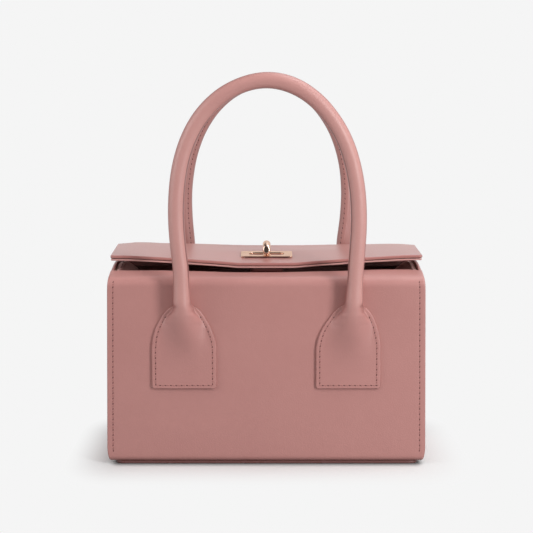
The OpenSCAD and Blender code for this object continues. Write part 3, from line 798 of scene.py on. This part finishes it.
def lidTop(x, y):
    bow = max(1 - max(0.0, (abs(x) - lid["flat"]) / (lidX - lid["flat"])), 0.0) ** 2
    back = (y - frontY) / lidRun
    droopX, droopRun = lid["droopX"]
    droop = lid["endDroop"] * max(0.0, (abs(x) - droopX) / droopRun) ** 2 * max(back, 0.0)
    return (lid["hingeZ"] + lid["rollR"] - droop + lidWarp(x, y)
            - (1 - back) * (lid["fall"] + lid["bow"] * bow))


def lidFacing(x, share=1.0):
    a = atan2(lidTop(x, hingeY) - lidTop(x, frontY), lidRun) * share
    return Vector((0, -sin(a), cos(a)))


def lidSide(u, v, inset, cornerR):  # rounded front corners, and a little wider at the back
    front, back, left = lid["wider"]
    wider = (front + back * min(v / lidRun, 1.0)) + (left if u < 0 else 0.0)
    return u * (lidX - inset - edgeDrop(v, cornerR) + wider) / lidX


def lidCoverAt(u, v):
    x, r = lidSide(u, v, 0.0, lid["cornerR"]), lid["rollR"]
    if v <= lidRun:
        return (Vector((x, frontY + v, lidTop(x, frontY + v))),
                lidFacing(x, 1 - smooth(lidRun - 6, lidRun, v)),
                mix(lid["coverT"], lid["rollT"], smooth(lidRun - 8, lidRun, v)))
    a = pi / 2 - (v - lidRun) / r
    facing = Vector((0, cos(a), sin(a)))
    return Vector((x, hingeY, lidTop(x, hingeY) - r)) + facing * r, facing, lid["rollT"]


def lidUnderAt(u, v):
    x, y = lidSide(u, v, lid["underInset"], lid["underR"]), frontY + lid["underInset"] + v
    pressed = ((1 - smooth(*lid["pressX"], abs(x)))
               * (1 - smooth(*lid["pressY"], abs(y - lid["washerY"]))))
    z = lidTop(x, y) - lidWarp(x, y) * pressed - lid["underDrop"]
    return Vector((x, y, z)), lidFacing(x), lid["underT"] - lid["pressT"] * pressed


def lidBoardAt(u, v):
    place, facing, _ = lidUnderAt(u, v)
    return place + facing * (lid["underDrop"] - lid["boardDrop"]), facing, lid["boardT"]


lidAcross = stepsAlong(-lidX, lidX, 4.5, (0.12, 0.35, 0.7, 1.2, 2.2, 4.0))
rollLength = lid["rollR"] * radians(lid["rollTurn"])
lidAlong = [(v, v) for v in (0, 0.1, 0.25, 0.45, 0.7, 1.0, 1.5, 2.2)]
lidAlong += [(v, 9.0) for v in evenSteps(2.2, lidRun - 2.2, 26)[1:]
             + evenSteps(lidRun, rollLength, 18) + [lidRun + rollLength]]
underRun = lid["seamY"] - frontY - lid["underInset"]
underAlong = stepsAlong(0, underRun, 2.2, (0.1, 0.25, 0.45, 0.7, 1.1))
makePiece("lidCover", sheetShape(lidAcross, lidAlong, lidCoverAt, lid["edgeR"], 0.35),
          leather["lidLeather"], "leather", "lid", "lid_cover")
makePiece("lidBoard", sheetShape(stepsAlong(3 - lidX, lidX - 3, 6.0),
                                 stepsAlong(3.0, underRun - 1, 3.0), lidBoardAt, 0.2),
          board, "board", "lid", "lid_board")
makePiece("lidLining", sheetShape(lidAcross, underAlong, lidUnderAt, 0.35, 0.45),
          leather["lidLowerLeather"], "inner_leather", "lid", "lid_lining")


# Hinge: a strip of leather from the rear shoulder into the lid's rolled edge

hingeStrip = {"thick": 1.6, "flange": 10.0, "halfX": 106.0, "filletR": 3.0, "edgeR": 0.5,
              "bend": (-3.0, -0.2)}  # heights of the bend, from the hinge line


def turnUp(path, corner, height, steps):  # from the slope round a corner to upright
    start = path[-1]
    for i in range(1, steps):
        f = i / steps
        y, z = (mix(mix(start[k], corner[k], f), mix(corner[k], (corner[0], height)[k], f), f)
                for k in (0, 1))
        path.append((y, z, cos(leanAngle * (1 - f)), sin(leanAngle * (1 - f))))


def stripShape(path, halfX, gap, thick, edgeR, underR=0.3, buried=0.0):
    # path: (y, z, normal y, normal z) of the strip's outer face
    def faceAt(u, i):
        y, z, ny, nz = path[i]
        return Vector((u, y, z)), Vector((0, ny, nz)), thick
    return sheetShape(stepsAlong(-halfX, halfX, gap),
                      [(i, min(buried + i * 1.2, 9.0)) for i in range(len(path))],
                      faceAt, edgeR, underR)


def hingePath():
    y0, z0, ny, nz = wallAt(lipStart - hingeStrip["flange"])
    y0, z0 = y0 + ny * hingeStrip["thick"], z0 + nz * hingeStrip["thick"]
    corner = (wall["lipY"], z0 + (y0 - wall["lipY"]) * ny / nz)
    cut = hingeStrip["filletR"] * tan(leanAngle / 2)  # from the corner to the fillet
    path = [(mix(y0, corner[0] + cut * nz, i / 6), mix(z0, corner[1] - cut * ny, i / 6), ny, nz)
            for i in range(7)]
    turnUp(path, corner, corner[1] + cut, 8)
    return path + [(corner[0], mix(corner[1] + cut, lid["hingeZ"], i / 12), 1.0, 0.0)
                   for i in range(13)]


hingePiece = makePiece("hingeStrip", stripShape(
    hingePath(), hingeStrip["halfX"], 9.0, hingeStrip["thick"], hingeStrip["edgeR"]),
    pink, "leather")
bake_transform(hingePiece)
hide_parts("hinge_strip")
print("lid and hinge built")


# Twist lock, drawn in its own frame: origin on the lid, axis square to it

lock = {
    "y": -6.5, "plateX": 18.5, "plateY": 7.75, "plateR": 1.7, "plateT": 1.35,
    "under": 0.80, "footX": 1.6,
    "slotX": 12.2, "slotY": 3.3, "edgeR": 0.30, "underR": 0.12,
    "toggleL": 16.7, "toggleR": 2.8, "toggleLow": 1.9, "toggleH": 8.5,
    "endR": 1.8, "endInX": 1.5, "endInZ": 1.2, "lean": 0.12, "barrel": 1.2,  # its ends
    "draft": 0.36,  # the plate's slot opens upwards
}
lockTilt = atan((lid["fall"] + lid["bow"]) / lidRun)
lockZ = lidTop(0, lock["y"])


def inLock(x, y, z):
    c, s = cos(lockTilt), sin(lockTilt)
    return (x, lock["y"] + y * c - z * s, lockZ + y * s + z * c)


plateBody = plateShape(
    rectangle(lock["plateX"], lock["plateY"], lock["plateR"], 144, 0.5),
    lock["under"], lock["plateT"], lock["edgeR"], lock["underR"],
    rectangle(lock["slotX"], lock["slotY"], lock["slotY"], 144), 0.02, lock["draft"])
for side in (-1, 1):  # the plate stands on a foot at either end
    foot = plateShape(rectangle(lock["footX"], lock["plateY"] - 0.5, 1.0, 48, 0.0),
                      0.0, lock["under"] + 0.1, 0.15)
    footX = side * (lock["plateX"] - lock["footX"] - 0.15)
    plateBody.add(foot.moved(lambda x, y, z: (x + footX, y, z)))
makePiece("lockPlate", plateBody.moved(inLock), gold, "gold_metal", "lid", "lock_plate")


def toggleShape():
    shape = Shape()
    tall, half, end = lock["toggleH"] / 2, lock["toggleL"] / 2, lock["endR"]
    mid, wideMost = lock["toggleLow"] + tall, lock["toggleR"]
    # place along the toggle, half width and half height there
    stations = [(half + 0.12 * (1 - f * f), f * (wideMost - lock["endInX"]),
                 f * (tall - lock["endInZ"])) for f in (0.15, 0.4, 0.7, 0.9)]
    for i in range(9):
        a = pi / 2 * (1 - i / 8)
        shrink = 1 - cos(a)
        stations.append((half - end + end * sin(a), wideMost - lock["endInX"] * shrink,
                         tall - lock["endInZ"] * shrink))
    stations += [(mix(half - end, end - half, i / 12), wideMost, tall) for i in range(1, 12)]
    stations += [(-y, wide, high) for y, wide, high in reversed(stations[:13])]
    rows = []
    for y, wide, high in stations:
        high -= lock["barrel"] * (y / half) ** 2 * high / tall
        row = []
        for a in circle(48, 0.5):
            z = copysign(max(high - wide, 0), sin(a)) + wide * sin(a)
            row.append((wide * cos(a), y * (1 - lock["lean"] * z / tall), mid + z))
        rows.append(shape.row(row))
    shape.tube(rows)
    return shape


makePiece("lockToggle", toggleShape().moved(inLock), gold, "gold_metal", "lock", "lock_toggle")

# the lock's smaller metal parts keep their own solids, with their edges broken
for name in ("lock_bush", "lock_washer", "lock_screws", "lock_post", "lock_cam",
             "cam_screw", "keeper_plate", "keeper_rivets"):
    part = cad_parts[name]
    part.data.materials.clear()
    part.data.materials.append(gold)
    part.modifiers.new("joined", "WELD").merge_threshold = 0.001 * milli
    bevel = part.modifiers.new("brokenEdges", "BEVEL")
    bevel.width, bevel.segments = 0.12 * milli, 2
    bevel.limit_method, bevel.angle_limit = "ANGLE", radians(35)
print("lock built")


# Closure tongue: a strap that rises behind the front lip, and its slotted end

tongue = {
    "halfX": 11.5, "thick": 2.4, "gap": 0.5, "lidT": 3.8, "flange": 9.0, "depth": 4.8,
    "frontY": -21.0, "endY": 16.0, "cornerR": 3.2, "slotX": 4.0, "slotY": 10.7, "slotR": 3.95,
    "slotEdge": 0.3, "pocketX": 9.58, "pocketY": 14.58, "pocketR": 0.3, "pocket": 0.84,
    "pocketEdge": 0.15, "count": 96, "edgeR": 0.6, "bendR": 3.2, "bendDeep": 6.5,
    "dip": 1.6, "rise": 1.6,
}


def tongueEndShape():
    shape, t = Shape(), tongue
    high = -(t["lidT"] + t["gap"]) * cos(lockTilt)
    low, floor = high - t["thick"], high - t["pocket"]
    outer = rectangle(t["halfX"], (t["endY"] - t["frontY"]) / 2, t["cornerR"], t["count"])
    slot = rectangle(t["slotX"], t["slotY"], t["slotR"], t["count"])
    pocket = rectangle(t["pocketX"], t["pocketY"], t["pocketR"], t["count"], 0.0)
    r, edge, midY = t["edgeR"], t["pocketEdge"], (t["endY"] + t["frontY"]) / 2
    levels = [(slot(-t["slotEdge"]), low), (slot(0), low + t["slotEdge"]), (slot(0), floor),
              (pocket(0.1), floor), (pocket(0), floor + 0.1), (pocket(0), high - edge),
              (pocket(-edge), high)]
    rows = [shape.row([(x, y, z) for x, y in loop], 0.3) for loop, z in levels]
    turns = ([(c, high - r * s) for c, s, _ in reversed(quarterTurn)]
             + [(c, low + r * s) for c, s, _ in quarterTurn])
    for k, (c, z) in enumerate(turns):
        rows.append(shape.row([(x, y + midY, z) for x, y in outer(r * c)],
                              1.0 if 0 < k < len(turns) - 1 else 0.3))
    shape.tube(rows + rows[:1], False, False)
    return shape.moved(inLock)


def tonguePath():  # drawn at the back, with y and normals to be mirrored
    t, d, path = tongue, tongue["depth"], []
    for share in evenSteps(0, 1.25, 5):
        y, z, ny, nz = wallAt(lipStart - t["flange"] + (t["flange"] - 1.6) * share)
        path.append((y - ny * d, z - nz * d, ny, nz))
    y, z, ny, nz = wallAt(lipStart)
    y, z = y - ny * d, z - nz * d
    turnUp(path, (y, z), z + t["rise"], 6)
    topZ = lidTop(0, -y) - t["lidT"] - t["gap"] - t["dip"]
    path += [(y, mix(z + t["rise"], topZ - t["bendR"], i / 3), 1.0, 0.0) for i in range(4)]
    bend = pi / 2 + lockTilt
    for i in range(1, 11):
        c, s = cos(bend * i / 10), sin(bend * i / 10)
        normal = Vector((c / t["bendDeep"], s / t["bendR"])).normalized()
        path.append((y - t["bendDeep"] * (1 - c), topZ - t["bendR"] * (1 - s), *normal))
    y, z = path[-1][:2]
    return path + [(y - 1.6 * i, z + 1.6 * i * tan(lockTilt) + t["dip"] * i / 3,
                    cos(bend), sin(bend)) for i in range(1, 4)]


strapShape = stripShape(tonguePath(), tongue["halfX"], 2.5, tongue["thick"], tongue["edgeR"],
                        0.5, buried=9.0)
makePiece("closureTongue", strapShape.mirrored(1).add(tongueEndShape()),
          leather["tongueLeather"], "inner_leather", "root", "closure_tongue")
print("tongue built")


# Handles: each is one rolled leather that opens out into the tab at either foot

handle = {
    "tubeR": 5.5, "y": 56.5, "rootZ": 113.0, "rootLean": 0.1166,
    "tabX": 57.1, "neckX": 58.6, "tabHalf": 22.5, "tabR": 40.6, "tabClose": -31.7,
    "tabFoot": -58.1, "tabT": 2.0, "cornerR": 2.2, "edgeR": 0.75,
    "neckLow": -1.5, "neckHigh": 4.0, "neckSwell": 0.6,
    "seamStep": 0.42, "seamFade": (4, 55), "seamEdge": (0.5, 8),  # degrees past the overlap
    # heights: end of the neck's swelling, the legs' painted sheen (painted shade on the rear
    # handle), and the painted shade line inside the curve
    "swellZ": (114, 130), "paleZ": (97, 124), "paleTop": (235, 262),
    "darkZ": (122, 140, 232, 250),
    "count": 48, "coreR": 3.9, "strand": 0.22, "bend": (-2.0, 6.0),
    # control points of the bow's middle line, (x, z), from the neck to the top
    "bow": [(53.57, 89.51), (59.94, 112.78), (59.47, 137.37), (62.85, 163.95), (62.59, 193.13),
            (57.34, 220.9), (45.68, 244.35), (26.24, 262.7), (0.0, 271.0)],
}
# how far each bow stands off to the right, and how far it is pinched in, by height
bowShift = {
    "front": [(78, -0.35), (95, -0.2), (113, 0.9), (139, 1.15), (160, 0.77), (187, 0.42),
              (215, -0.08), (248, -0.55), (262, -0.2), (275, 1.05)],
    "rear": [(78, -0.35), (95, -0.4), (113, -0.4), (147, -0.65), (170, -0.2), (185, 0.05),
             (200, 0.37), (238, 0.6), (275, 1.05)],
}
bowPinch = {"front": [(113, 0), (139, 0.3), (245, 0.33), (262, 0.1), (275, 0)],
            "rear": [(113, 0), (130, 0.5), (147, 1.1), (165, 0.7), (185, 0.35), (203, 0.3),
                     (227, 0.55), (240, 0.65), (275, 0)]}
# the swelling under the neck, by height from the hinge line: rise, half width, roundness
swellRise = [(-48, 0), (-42, 0.35), (-37, 0.95), (-33, 1.8), (-29, 2.9), (-25, 4.3),
             (-21, 5.9), (-17, 7.5), (-13, 9.0), (-9, 10.3), (-4, 11.4), (2, 12.0)]
swellWide = [(-46, 20.5), (-35, 19.4), (-30, 18.7), (-23, 17.8), (-19, 17.0), (-15, 15.7),
             (-11, 13.7), (-7, 11.0), (-3, 7.9), (2, 6.2)]
swellRound = [(-19, 0), (-13, 0.12), (-8, 0.45), (-4, 0.8), (2, 1.0)]
rootZ, tabFoot = handle["rootZ"], handle["tabFoot"]


def spread(k, n):  # shares from 0 to 1, closer together at both ends
    return 0.8 * (1 - cos(pi * k / n)) / 2 + 0.2 * k / n


def tabHalfWidth(up):
    if up <= handle["tabClose"]:
        return handle["tabHalf"] - edgeDrop(up - tabFoot, handle["cornerR"])
    r = handle["tabR"]
    half = handle["tabHalf"] - edgeDrop(max(r - up + handle["tabClose"], 1), r)
    return max(half + 0.9 * smooth(-12, -2, up), handle["tubeR"] + handle["neckSwell"])


def tabMiddle(up):
    return mix(handle["tabX"], handle["neckX"], smooth(-30, 0, up))


def tabEdge(x, up):  # distance to the tab's nearest edge
    return min(tabHalfWidth(up) - abs(x - tabMiddle(up)), up - tabFoot)


def tabBack(x, up):  # the panel's face under the tab
    return halfDepth + pillowAt(x, rootZ + up)


def tabSurface(x, up):  # how far out of the bag's middle plane the tab's face is
    u = min(abs(x - tabMiddle(up)) / fromTable(swellWide, up), 1.0)
    bell, dome = (1 - u * u) ** 2, sqrt(1 - u ** 3)
    return (tabBack(x, up) + handle["tabT"] - edgeDrop(tabEdge(x, up), handle["edgeR"])
            + fromTable(swellRise, up) * mix(bell, dome, fromTable(swellRound, up)))


def walker(line, distance):  # the length of a line, and how to find a place along it
    lengths = [0.0]
    for a, b in zip(line, line[1:]):
        lengths.append(lengths[-1] + distance(a, b))

    def at(s):
        k = 0
        while k < len(line) - 2 and lengths[k + 1] < s:
            k += 1
        f = (s - lengths[k]) / max(lengths[k + 1] - lengths[k], 1e-9)
        return k, min(max(f, 0.0), 1.0)
    return lengths[-1], at


def resampled(line, n):
    length, at = walker(line, dist)
    made = []
    for i in range(n + 1):
        k, f = at(spread(i, n) * length)
        made.append((mix(line[k][0], line[k + 1][0], f), mix(line[k][1], line[k + 1][1], f)))
    return made


def tabLoop(up):  # (x, y, z, rim) round the tab at one height, drawn at the back right
    n, half, middle = handle["count"], tabHalfWidth(up), tabMiddle(up)
    xs = [middle + half * cos(pi * i / 120) for i in range(121)]
    right, left = ((x, tabBack(x, up) + 0.8) for x in (xs[0], xs[-1]))
    outer = [(x, tabSurface(x, up)) for x in xs]
    inner = [(x, tabBack(x, up) + 0.03 + edgeDrop(tabEdge(x, up), 0.3)) for x in reversed(xs)]
    loop = (resampled([right] + outer + [left], n) + resampled([left] + inner + [right], n)[1:-1])
    return [(x, y, rootZ + up, 1 - smooth(0.15, 1.0, tabEdge(x, up))) for x, y in loop]


def tubeLoop(cx, cz, a, seam):  # the same count of points round the rolled tube
    n, (edge, wornTo), made = handle["count"], handle["seamEdge"], []
    for b in ([pi * spread(k, n) for k in range(n + 1)]
              + [pi + pi * spread(k, n) for k in range(1, n)]):
        past = degrees(b) - 270  # the overlap's edge faces the other handle
        step = handle["seamStep"] * (1 - smooth(*handle["seamFade"], past)) if past > edge else 0.0
        swell = handle["neckSwell"] * (1 - smooth(*handle["swellZ"], cz))
        r = handle["tubeR"] + swell - step * seam
        out = r * cos(b)
        made.append((cx + out * cos(a), handle["y"] + r * sin(b),
                     cz + out * sin(a), seam * (0.9 if edge < past < wornTo else 0.0)))
    return made


def bowLine(which):  # (x, z, outward angle) from the hinge line to the top, right half
    points = [Vector(p) for p in handle["bow"]]
    points.append(Vector((-points[-2].x, points[-2].y)))
    line = []
    for k in range(1, len(points) - 2):
        p0, p1, p2, p3 = points[k - 1:k + 3]
        for t in evenSteps(0, 1, 10):
            place = (p0 * (1 - t) ** 3 + p1 * (3 * t ** 3 - 6 * t * t + 4)
                     + p2 * (1 + 3 * t + 3 * t * t - 3 * t ** 3) + p3 * t ** 3) / 6
            way = (-p0 * (1 - t) ** 2 + p1 * (3 * t * t - 4 * t)
                   + p2 * (1 + 2 * t - 3 * t * t) + p3 * t * t)
            line.append((place.x - fromTable(bowPinch[which], place.y), place.y,
                         atan2(-way.x, way.y)))
    line.append((0.0, (points[-3].y + 4 * points[-2].y + points[-1].y) / 6, pi / 2))
    return line


def bothHalves(line):  # every entry with its side: right half up, left half down
    return [(1, p) for p in line] + [(-1, p) for p in line[-2::-1]]


def shifted(which, x, z):
    return x + fromTable(bowShift[which], z)


def handleRows(which):  # right half, foot to top: lists of (x, y, z, rim)
    ups = [tabFoot + d for d in (0, 0.1, 0.28, 0.55, 0.9, 1.4, 2.2, 3.4)]
    while ups[-1] < handle["neckHigh"]:
        ups.append(ups[-1] + (1.5 if ups[-1] < -8 else 0.75))
    line, lean, rows = bowLine(which), handle["rootLean"], []
    for up in ups:
        share = smooth(handle["neckLow"], handle["neckHigh"], up)
        tube = tubeLoop(line[0][0] + lean * up, rootZ + up, -atan(lean), 0.0)
        rows.append([(mix(p[0], q[0], share), mix(p[1], q[1], share),
                      mix(rootZ + up, q[2], share), p[3] * (1 - smooth(-16, -4, up)))
                     for p, q in zip(tabLoop(min(up, 2.5)), tube)])
    start = ups[-1] + rootZ
    return rows + [tubeLoop(x, z, a, smooth(start + 3, start + 12, z))
                   for x, z, a in line if z > start + 1.5]


def handleShape(side, which):  # side -1 is the front handle, 1 the rear one
    shape, n = Shape(), handle["count"]
    rows = [[shape.point((shifted(which, s * x, z), y * side, z), rim) for x, y, z, rim in row]
            for s, row in bothHalves(handleRows(which))]
    shape.tube(rows, False, False)
    for row in (rows[0], rows[-1]):
        shape.strip(row[:n + 1], [row[0]] + row[:n:-1] + [row[n]])
    return shape


def coreShape(side, which):
    shape, rows = Shape(), []
    for k, (s, (x, z, a)) in enumerate(bothHalves(bowLine(which))):
        row = []
        for b in circle(24):
            r = handle["coreR"] + handle["strand"] * cos(3 * b + k * 0.35)  # 3 strands
            out = r * cos(b)
            row.append((shifted(which, s * (x + out * cos(a)), z),
                        side * (handle["y"] + r * sin(b)), z + out * sin(a)))
        rows.append(shape.row(row))
    shape.tube(rows)
    return shape


def bendAtNeck(piece):  # bakes the piece's placement into its mesh
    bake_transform(piece)


def legSheenAndShadeShare(corner):  # painted sheen from the neck up, less towards the top; on the rear handle its colour makes it a painted shade
    z = corner.co.z / milli
    return smooth(*handle["paleZ"], z) * (1 - 0.4 * smooth(*handle["paleTop"], z))


def seamShade(corner):  # painted shade: a dark line along the inside of the front handle's curve, where it passes in front of the rear handle
    x, _, z = corner.co / milli
    inward = Vector((-x, 0, min(z, 205) - z)).normalized()
    return smooth(0.83, 0.90, corner.normal.dot(inward)) * within(z, *handle["darkZ"])


for side, name, look in ((-1, "front", "handleLeather"), (1, "rear", "rearHandleLeather")):
    cover = makePiece(name + "Handle", handleShape(side, name), leather[look], "leather")
    corners = cover.data.vertices
    # the legs' painted sheen and shade and the painted seam shade, kept at the handle's points for
    # its material
    keepValues(cover.data, "pulled", [legSheenAndShadeShare(v) for v in corners])
    keepValues(cover.data, "seam", [seamShade(v) if side < 0 else 0.0 for v in corners])
    bendAtNeck(cover)
    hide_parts(name + "_handle_cover", name + "_left_tab", name + "_right_tab")
    core = makePiece(name + "HandleCore", coreShape(side, name), cord, "handle_core")
    bendAtNeck(core)
    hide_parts(name + "_handle_core")
print("handles built")


# Stitches: short threads that dip into the leather, with a dark mark between them, painted for the
# shade in the needle's hole

stitch = {"pitch": 3.75, "length": 2.0, "threadR": 0.32, "sink": 0.45, "slant": 0.16,
          "thin": 0.35, "flat": 0.8, "markLong": 0.85, "markWide": 0.42, "markSlant": 0.12,
          "panelStart": 2.0, "panelEnd": 5.5,  # past the foot, and past the bend's start
          "tabIn": 2.7, "tabTop": -7.0,  # from the tab's edge, and from the hinge line
          "seamAngle": 241, "seamStart": 16}  # round the tube, and above the hinge line
markRows = ((1.0, -0.10), (0.92, 0.015), (0.5, 0.03), (0.05, 0.03))  # share, rise


def addStitches(name, lines, body, front):
    # each line: (place, normal) along the surface
    threads, marks = Shape(), Shape()
    for line in lines:
        length, at = walker(line, lambda a, b: (b[0] - a[0]).length)

        def axesAt(s):  # place, normal, along and across the line
            k, f = at(s)
            place = line[k][0].lerp(line[k + 1][0], f)
            normal = line[k][1].lerp(line[k + 1][1], f).normalized()
            k, f = at(s + 0.2)
            along = (line[k][0].lerp(line[k + 1][0], f) - place).normalized()
            return place, normal, along, normal.cross(along).normalized()
        count = int(length // stitch["pitch"])
        start = (length - count * stitch["pitch"]) / 2
        for i in range(count):
            rows = []
            for f in [j / 3 - 1 for j in range(7)]:
                place, normal, _, across = axesAt(start + stitch["pitch"] * (i + 0.5)
                                                  + f * stitch["length"] / 2)
                place += (normal * (0.05 - stitch["sink"] * abs(f) ** 3)
                          + across * (stitch["slant"] * f))
                r = stitch["threadR"] * (1 - stitch["thin"] * abs(f) ** 4)
                rows.append(threads.ring(place, across * r, normal * (r * stitch["flat"]), 8))
            threads.tube(rows)
        for i in range(count + 1):
            place, normal, along, across = axesAt(start + stitch["pitch"] * i)
            marks.tube([marks.ring(
                place + normal * rise,
                along * (stitch["markLong"] * share) + across * stitch["markSlant"],
                across * (stitch["markWide"] * share), 12) for share, rise in markRows])
    for label, shape, material in (("Stitches", threads, thread),
                                   ("NeedleMarks", marks, needleMark)):
        makePiece(name + label, shape.mirrored(1 if front else None), material, "leather", body)


def panelStitchLine(sideX):  # back panel; v follows the section
    line, start, end = [], footLength + stitch["panelStart"], bendStart + stitch["panelEnd"]
    for v in evenSteps(start, end - start, 120) + [end]:
        y, z, ny, nz = wallAt(v)
        x = (1 - wall["stitchIn"] / wall["halfWidth"]) * panelHalfWidth(v, z)
        out = pillowAt(x, z) * ny - 0.07
        x += wall["leftMore"] * 0.96 if sideX < 0 else 0
        line.append((Vector((x * sideX, y + ny * out, z + nz * out)), Vector((0, ny, nz))))
    return line


def tabStitchLine(sideX, which):
    inset, top = stitch["tabIn"], stitch["tabTop"]
    ups = [mix(top, tabFoot + inset - 0.3, i / 60) for i in range(61)]
    reach = [tabHalfWidth(up) - inset for up in ups]
    outline = [(r, up) for r, up in zip(reach, ups)]
    outline += [(mix(reach[-1], -reach[-1], i / 40), ups[-1]) for i in range(1, 40)]
    outline += [(-r, up) for r, up in reversed(outline[:61])]
    line = []
    for x, up in outline:
        x += tabMiddle(up)
        z = rootZ + up
        dx = (tabSurface(x + 0.3, up) - tabSurface(x - 0.3, up)) / 0.6
        dz = (tabSurface(x, up + 0.3) - tabSurface(x, up - 0.3)) / 0.6
        line.append((Vector((shifted(which, x * sideX, z), tabSurface(x, up), z)),
                     Vector((-dx * sideX, 1, -dz)).normalized()))
    return line


def seamStitchLine(which):  # along the side of the tube that faces the other handle
    line, b, start = [], radians(stitch["seamAngle"]), rootZ + stitch["seamStart"]
    for s, (x, z, a) in bothHalves([p for p in bowLine(which) if p[1] > start]):
        normal = Vector((s * cos(b) * cos(a), sin(b), cos(b) * sin(a)))
        line.append((Vector((shifted(which, s * x, z), handle["y"], z))
                     + normal * handle["tubeR"], normal))
    return line


for name, front in (("front", True), ("back", False)):
    addStitches(name + "Panel", [panelStitchLine(1), panelStitchLine(-1)], "root", front)
for name, front in (("front", True), ("rear", False)):
    addStitches(name + "Tabs", [tabStitchLine(1, name), tabStitchLine(-1, name)], "root", front)
    addStitches(name + "Handle", [seamStitchLine(name)], name + "_handle", front)
print("stitches built")

# the base board stays as it is inside the bag
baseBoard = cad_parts["base_board"].data
baseBoard.materials.clear()
baseBoard.materials.append(board)


# Floor, backdrop and light

studio = {
    "pale": 0.913,  # background as the camera sees it
    "floorShade": 0.28,  # floor as the object sees it
    "floorSeen": 0.80,  # floor near the bag, where its shadow shows
    "floorContact": 0.22,  # painted contact shadow, right at the base
    "contactReach": 0.012, "shadowReach": 0.060,  # metres from the bag's foot
    "foot": (("X", 0.104, 1.5), ("Y", 0.044, 1.0)),  # half size in metres, and share
    "floorReach": 6.0,
    "floorFrontY": -0.55,  # the floor ends in front, and bright metal mirrors the dark there
    "fillFront": 0.48, "fillBack": 0.22,  # what the backdrop and the room give the object
    "fillY": (-0.35, 0.35),  # directions between which the one turns into the other
    # what bright metal mirrors from behind the camera and from the unlit ceiling, left of middle
    "frontDark": 0.045, "darkY": (-0.45, -0.72),
    "ceilingY": (0.90, 0.72), "ceilingX": ((-0.12, 0.16, 1.0, 0.0), (-0.75, -0.45)),
}
# lamps: watts, width, height, place and aim in metres
lamps = {
    "keySoftbox": (3.6, 0.6, 0.6, (0.42, -0.02, 1.05), (0, 0, 0.12)),
    "stripSoftbox": (7.0, 0.24, 0.85, (0.66, -0.72, 0.46), (0.0, -0.05, 0.16)),
    "leftSoftbox": (2.5, 0.5, 0.7, (-0.75, -0.30, 0.45), (0, 0, 0.14)),
    "topSoftbox": (1.2, 0.9, 0.7, (0.20, 0.55, 1.00), (0, 0, 0.10)),
}


def grey(value):
    return (value, value, value, 1)


def seenRay(n):  # 1 for what the camera, a mirror or a glass shows
    path = n.add("LightPath").outputs
    return n.math("MAXIMUM", path["Is Camera Ray"],
                  n.math("MAXIMUM", path["Is Glossy Ray"], path["Is Transmission Ray"]))


def floorMaterial():
    material = bpy.data.materials.new("paleFloor")
    n = emptyTree(material)
    place = n.add("SeparateXYZ", {"Vector": n.place()}).outputs
    sides = [n.times(n.math("MAXIMUM", n.minus(n.math("ABSOLUTE", place[axis]), half), 0.0), share)
             for axis, half, share in studio["foot"]]
    far = n.math("SQRT", n.plus(*(n.times(side, side) for side in sides)))
    # painted shadow: the floor's colour darkens towards the bag's foot
    paintedContactColour = n.between(far, 0.0, studio["contactReach"], studio["floorContact"],
                     studio["floorSeen"])
    near = n.between(far, 0.0, studio["shadowReach"], 1.0, 0.0)
    plain = n.add("BsdfDiffuse", {"Color": grey(studio["floorShade"])}).outputs[0]
    shadowed = n.add("BsdfDiffuse", {"Color": paintedContactColour}).outputs[0]
    glow = n.add("Emission", {"Color": grey(1), "Strength": studio["pale"]}).outputs[0]
    shown = n.add("MixShader", {0: near, 1: glow, 2: shadowed}).outputs[0]
    whole = n.add("MixShader", {0: seenRay(n), 1: plain, 2: shown}).outputs[0]
    n.add("OutputMaterial", {"Surface": whole})
    return material


floorMesh = bpy.data.meshes.new("studioFloor")
sculpt = bmesh.new()
reach = studio["floorReach"]
bmesh.ops.create_grid(sculpt, x_segments=24, y_segments=24, size=reach)
for corner in sculpt.verts:  # the floor's front edge comes nearer
    corner.co.y = mix(studio["floorFrontY"], reach, (corner.co.y + reach) / (2 * reach))
sculpt.to_mesh(floorMesh)
sculpt.free()
floorMesh.materials.append(floorMaterial())
floor = bpy.data.objects.new("studioFloor", floorMesh)
scene.collection.objects.link(floor)

scene.world = bpy.data.worlds.new("studioWorld")
n = emptyTree(scene.world)
direction = n.add("SeparateXYZ", {
    "Vector": n.add("TexCoord").outputs["Generated"]}).outputs
front = n.between(direction["Y"], *studio["darkY"])
over = n.times(n.between(direction["Y"], *studio["ceilingY"]), n.times(
    *(n.between(direction["X"], *edges) for edges in studio["ceilingX"])))
mirrored = n.times(n.math("MAXIMUM", front, over), n.add("LightPath").outputs["Is Glossy Ray"])
background = n.blendColour(mirrored, grey(studio["pale"]), grey(studio["frontDark"]))
fill = n.between(direction["Y"], *studio["fillY"], studio["fillFront"], studio["fillBack"])
shown = n.blendColour(seenRay(n), fill, background)
n.add("OutputWorld", {"Surface": n.add("Background", {
    "Color": shown, "Strength": 1.0}).outputs[0]})

for name, (power, width, height, place, aim) in lamps.items():
    lampData = bpy.data.lights.new(name, "AREA")
    lampData.energy, lampData.shape = power, "RECTANGLE"
    lampData.size, lampData.size_y = width, height
    lamp = bpy.data.objects.new(name, lampData)
    lamp.location = place
    lamp.rotation_euler = (Vector(aim) - Vector(place)).to_track_quat("-Z", "Y").to_euler()
    scene.collection.objects.link(lamp)
print("studio ready")
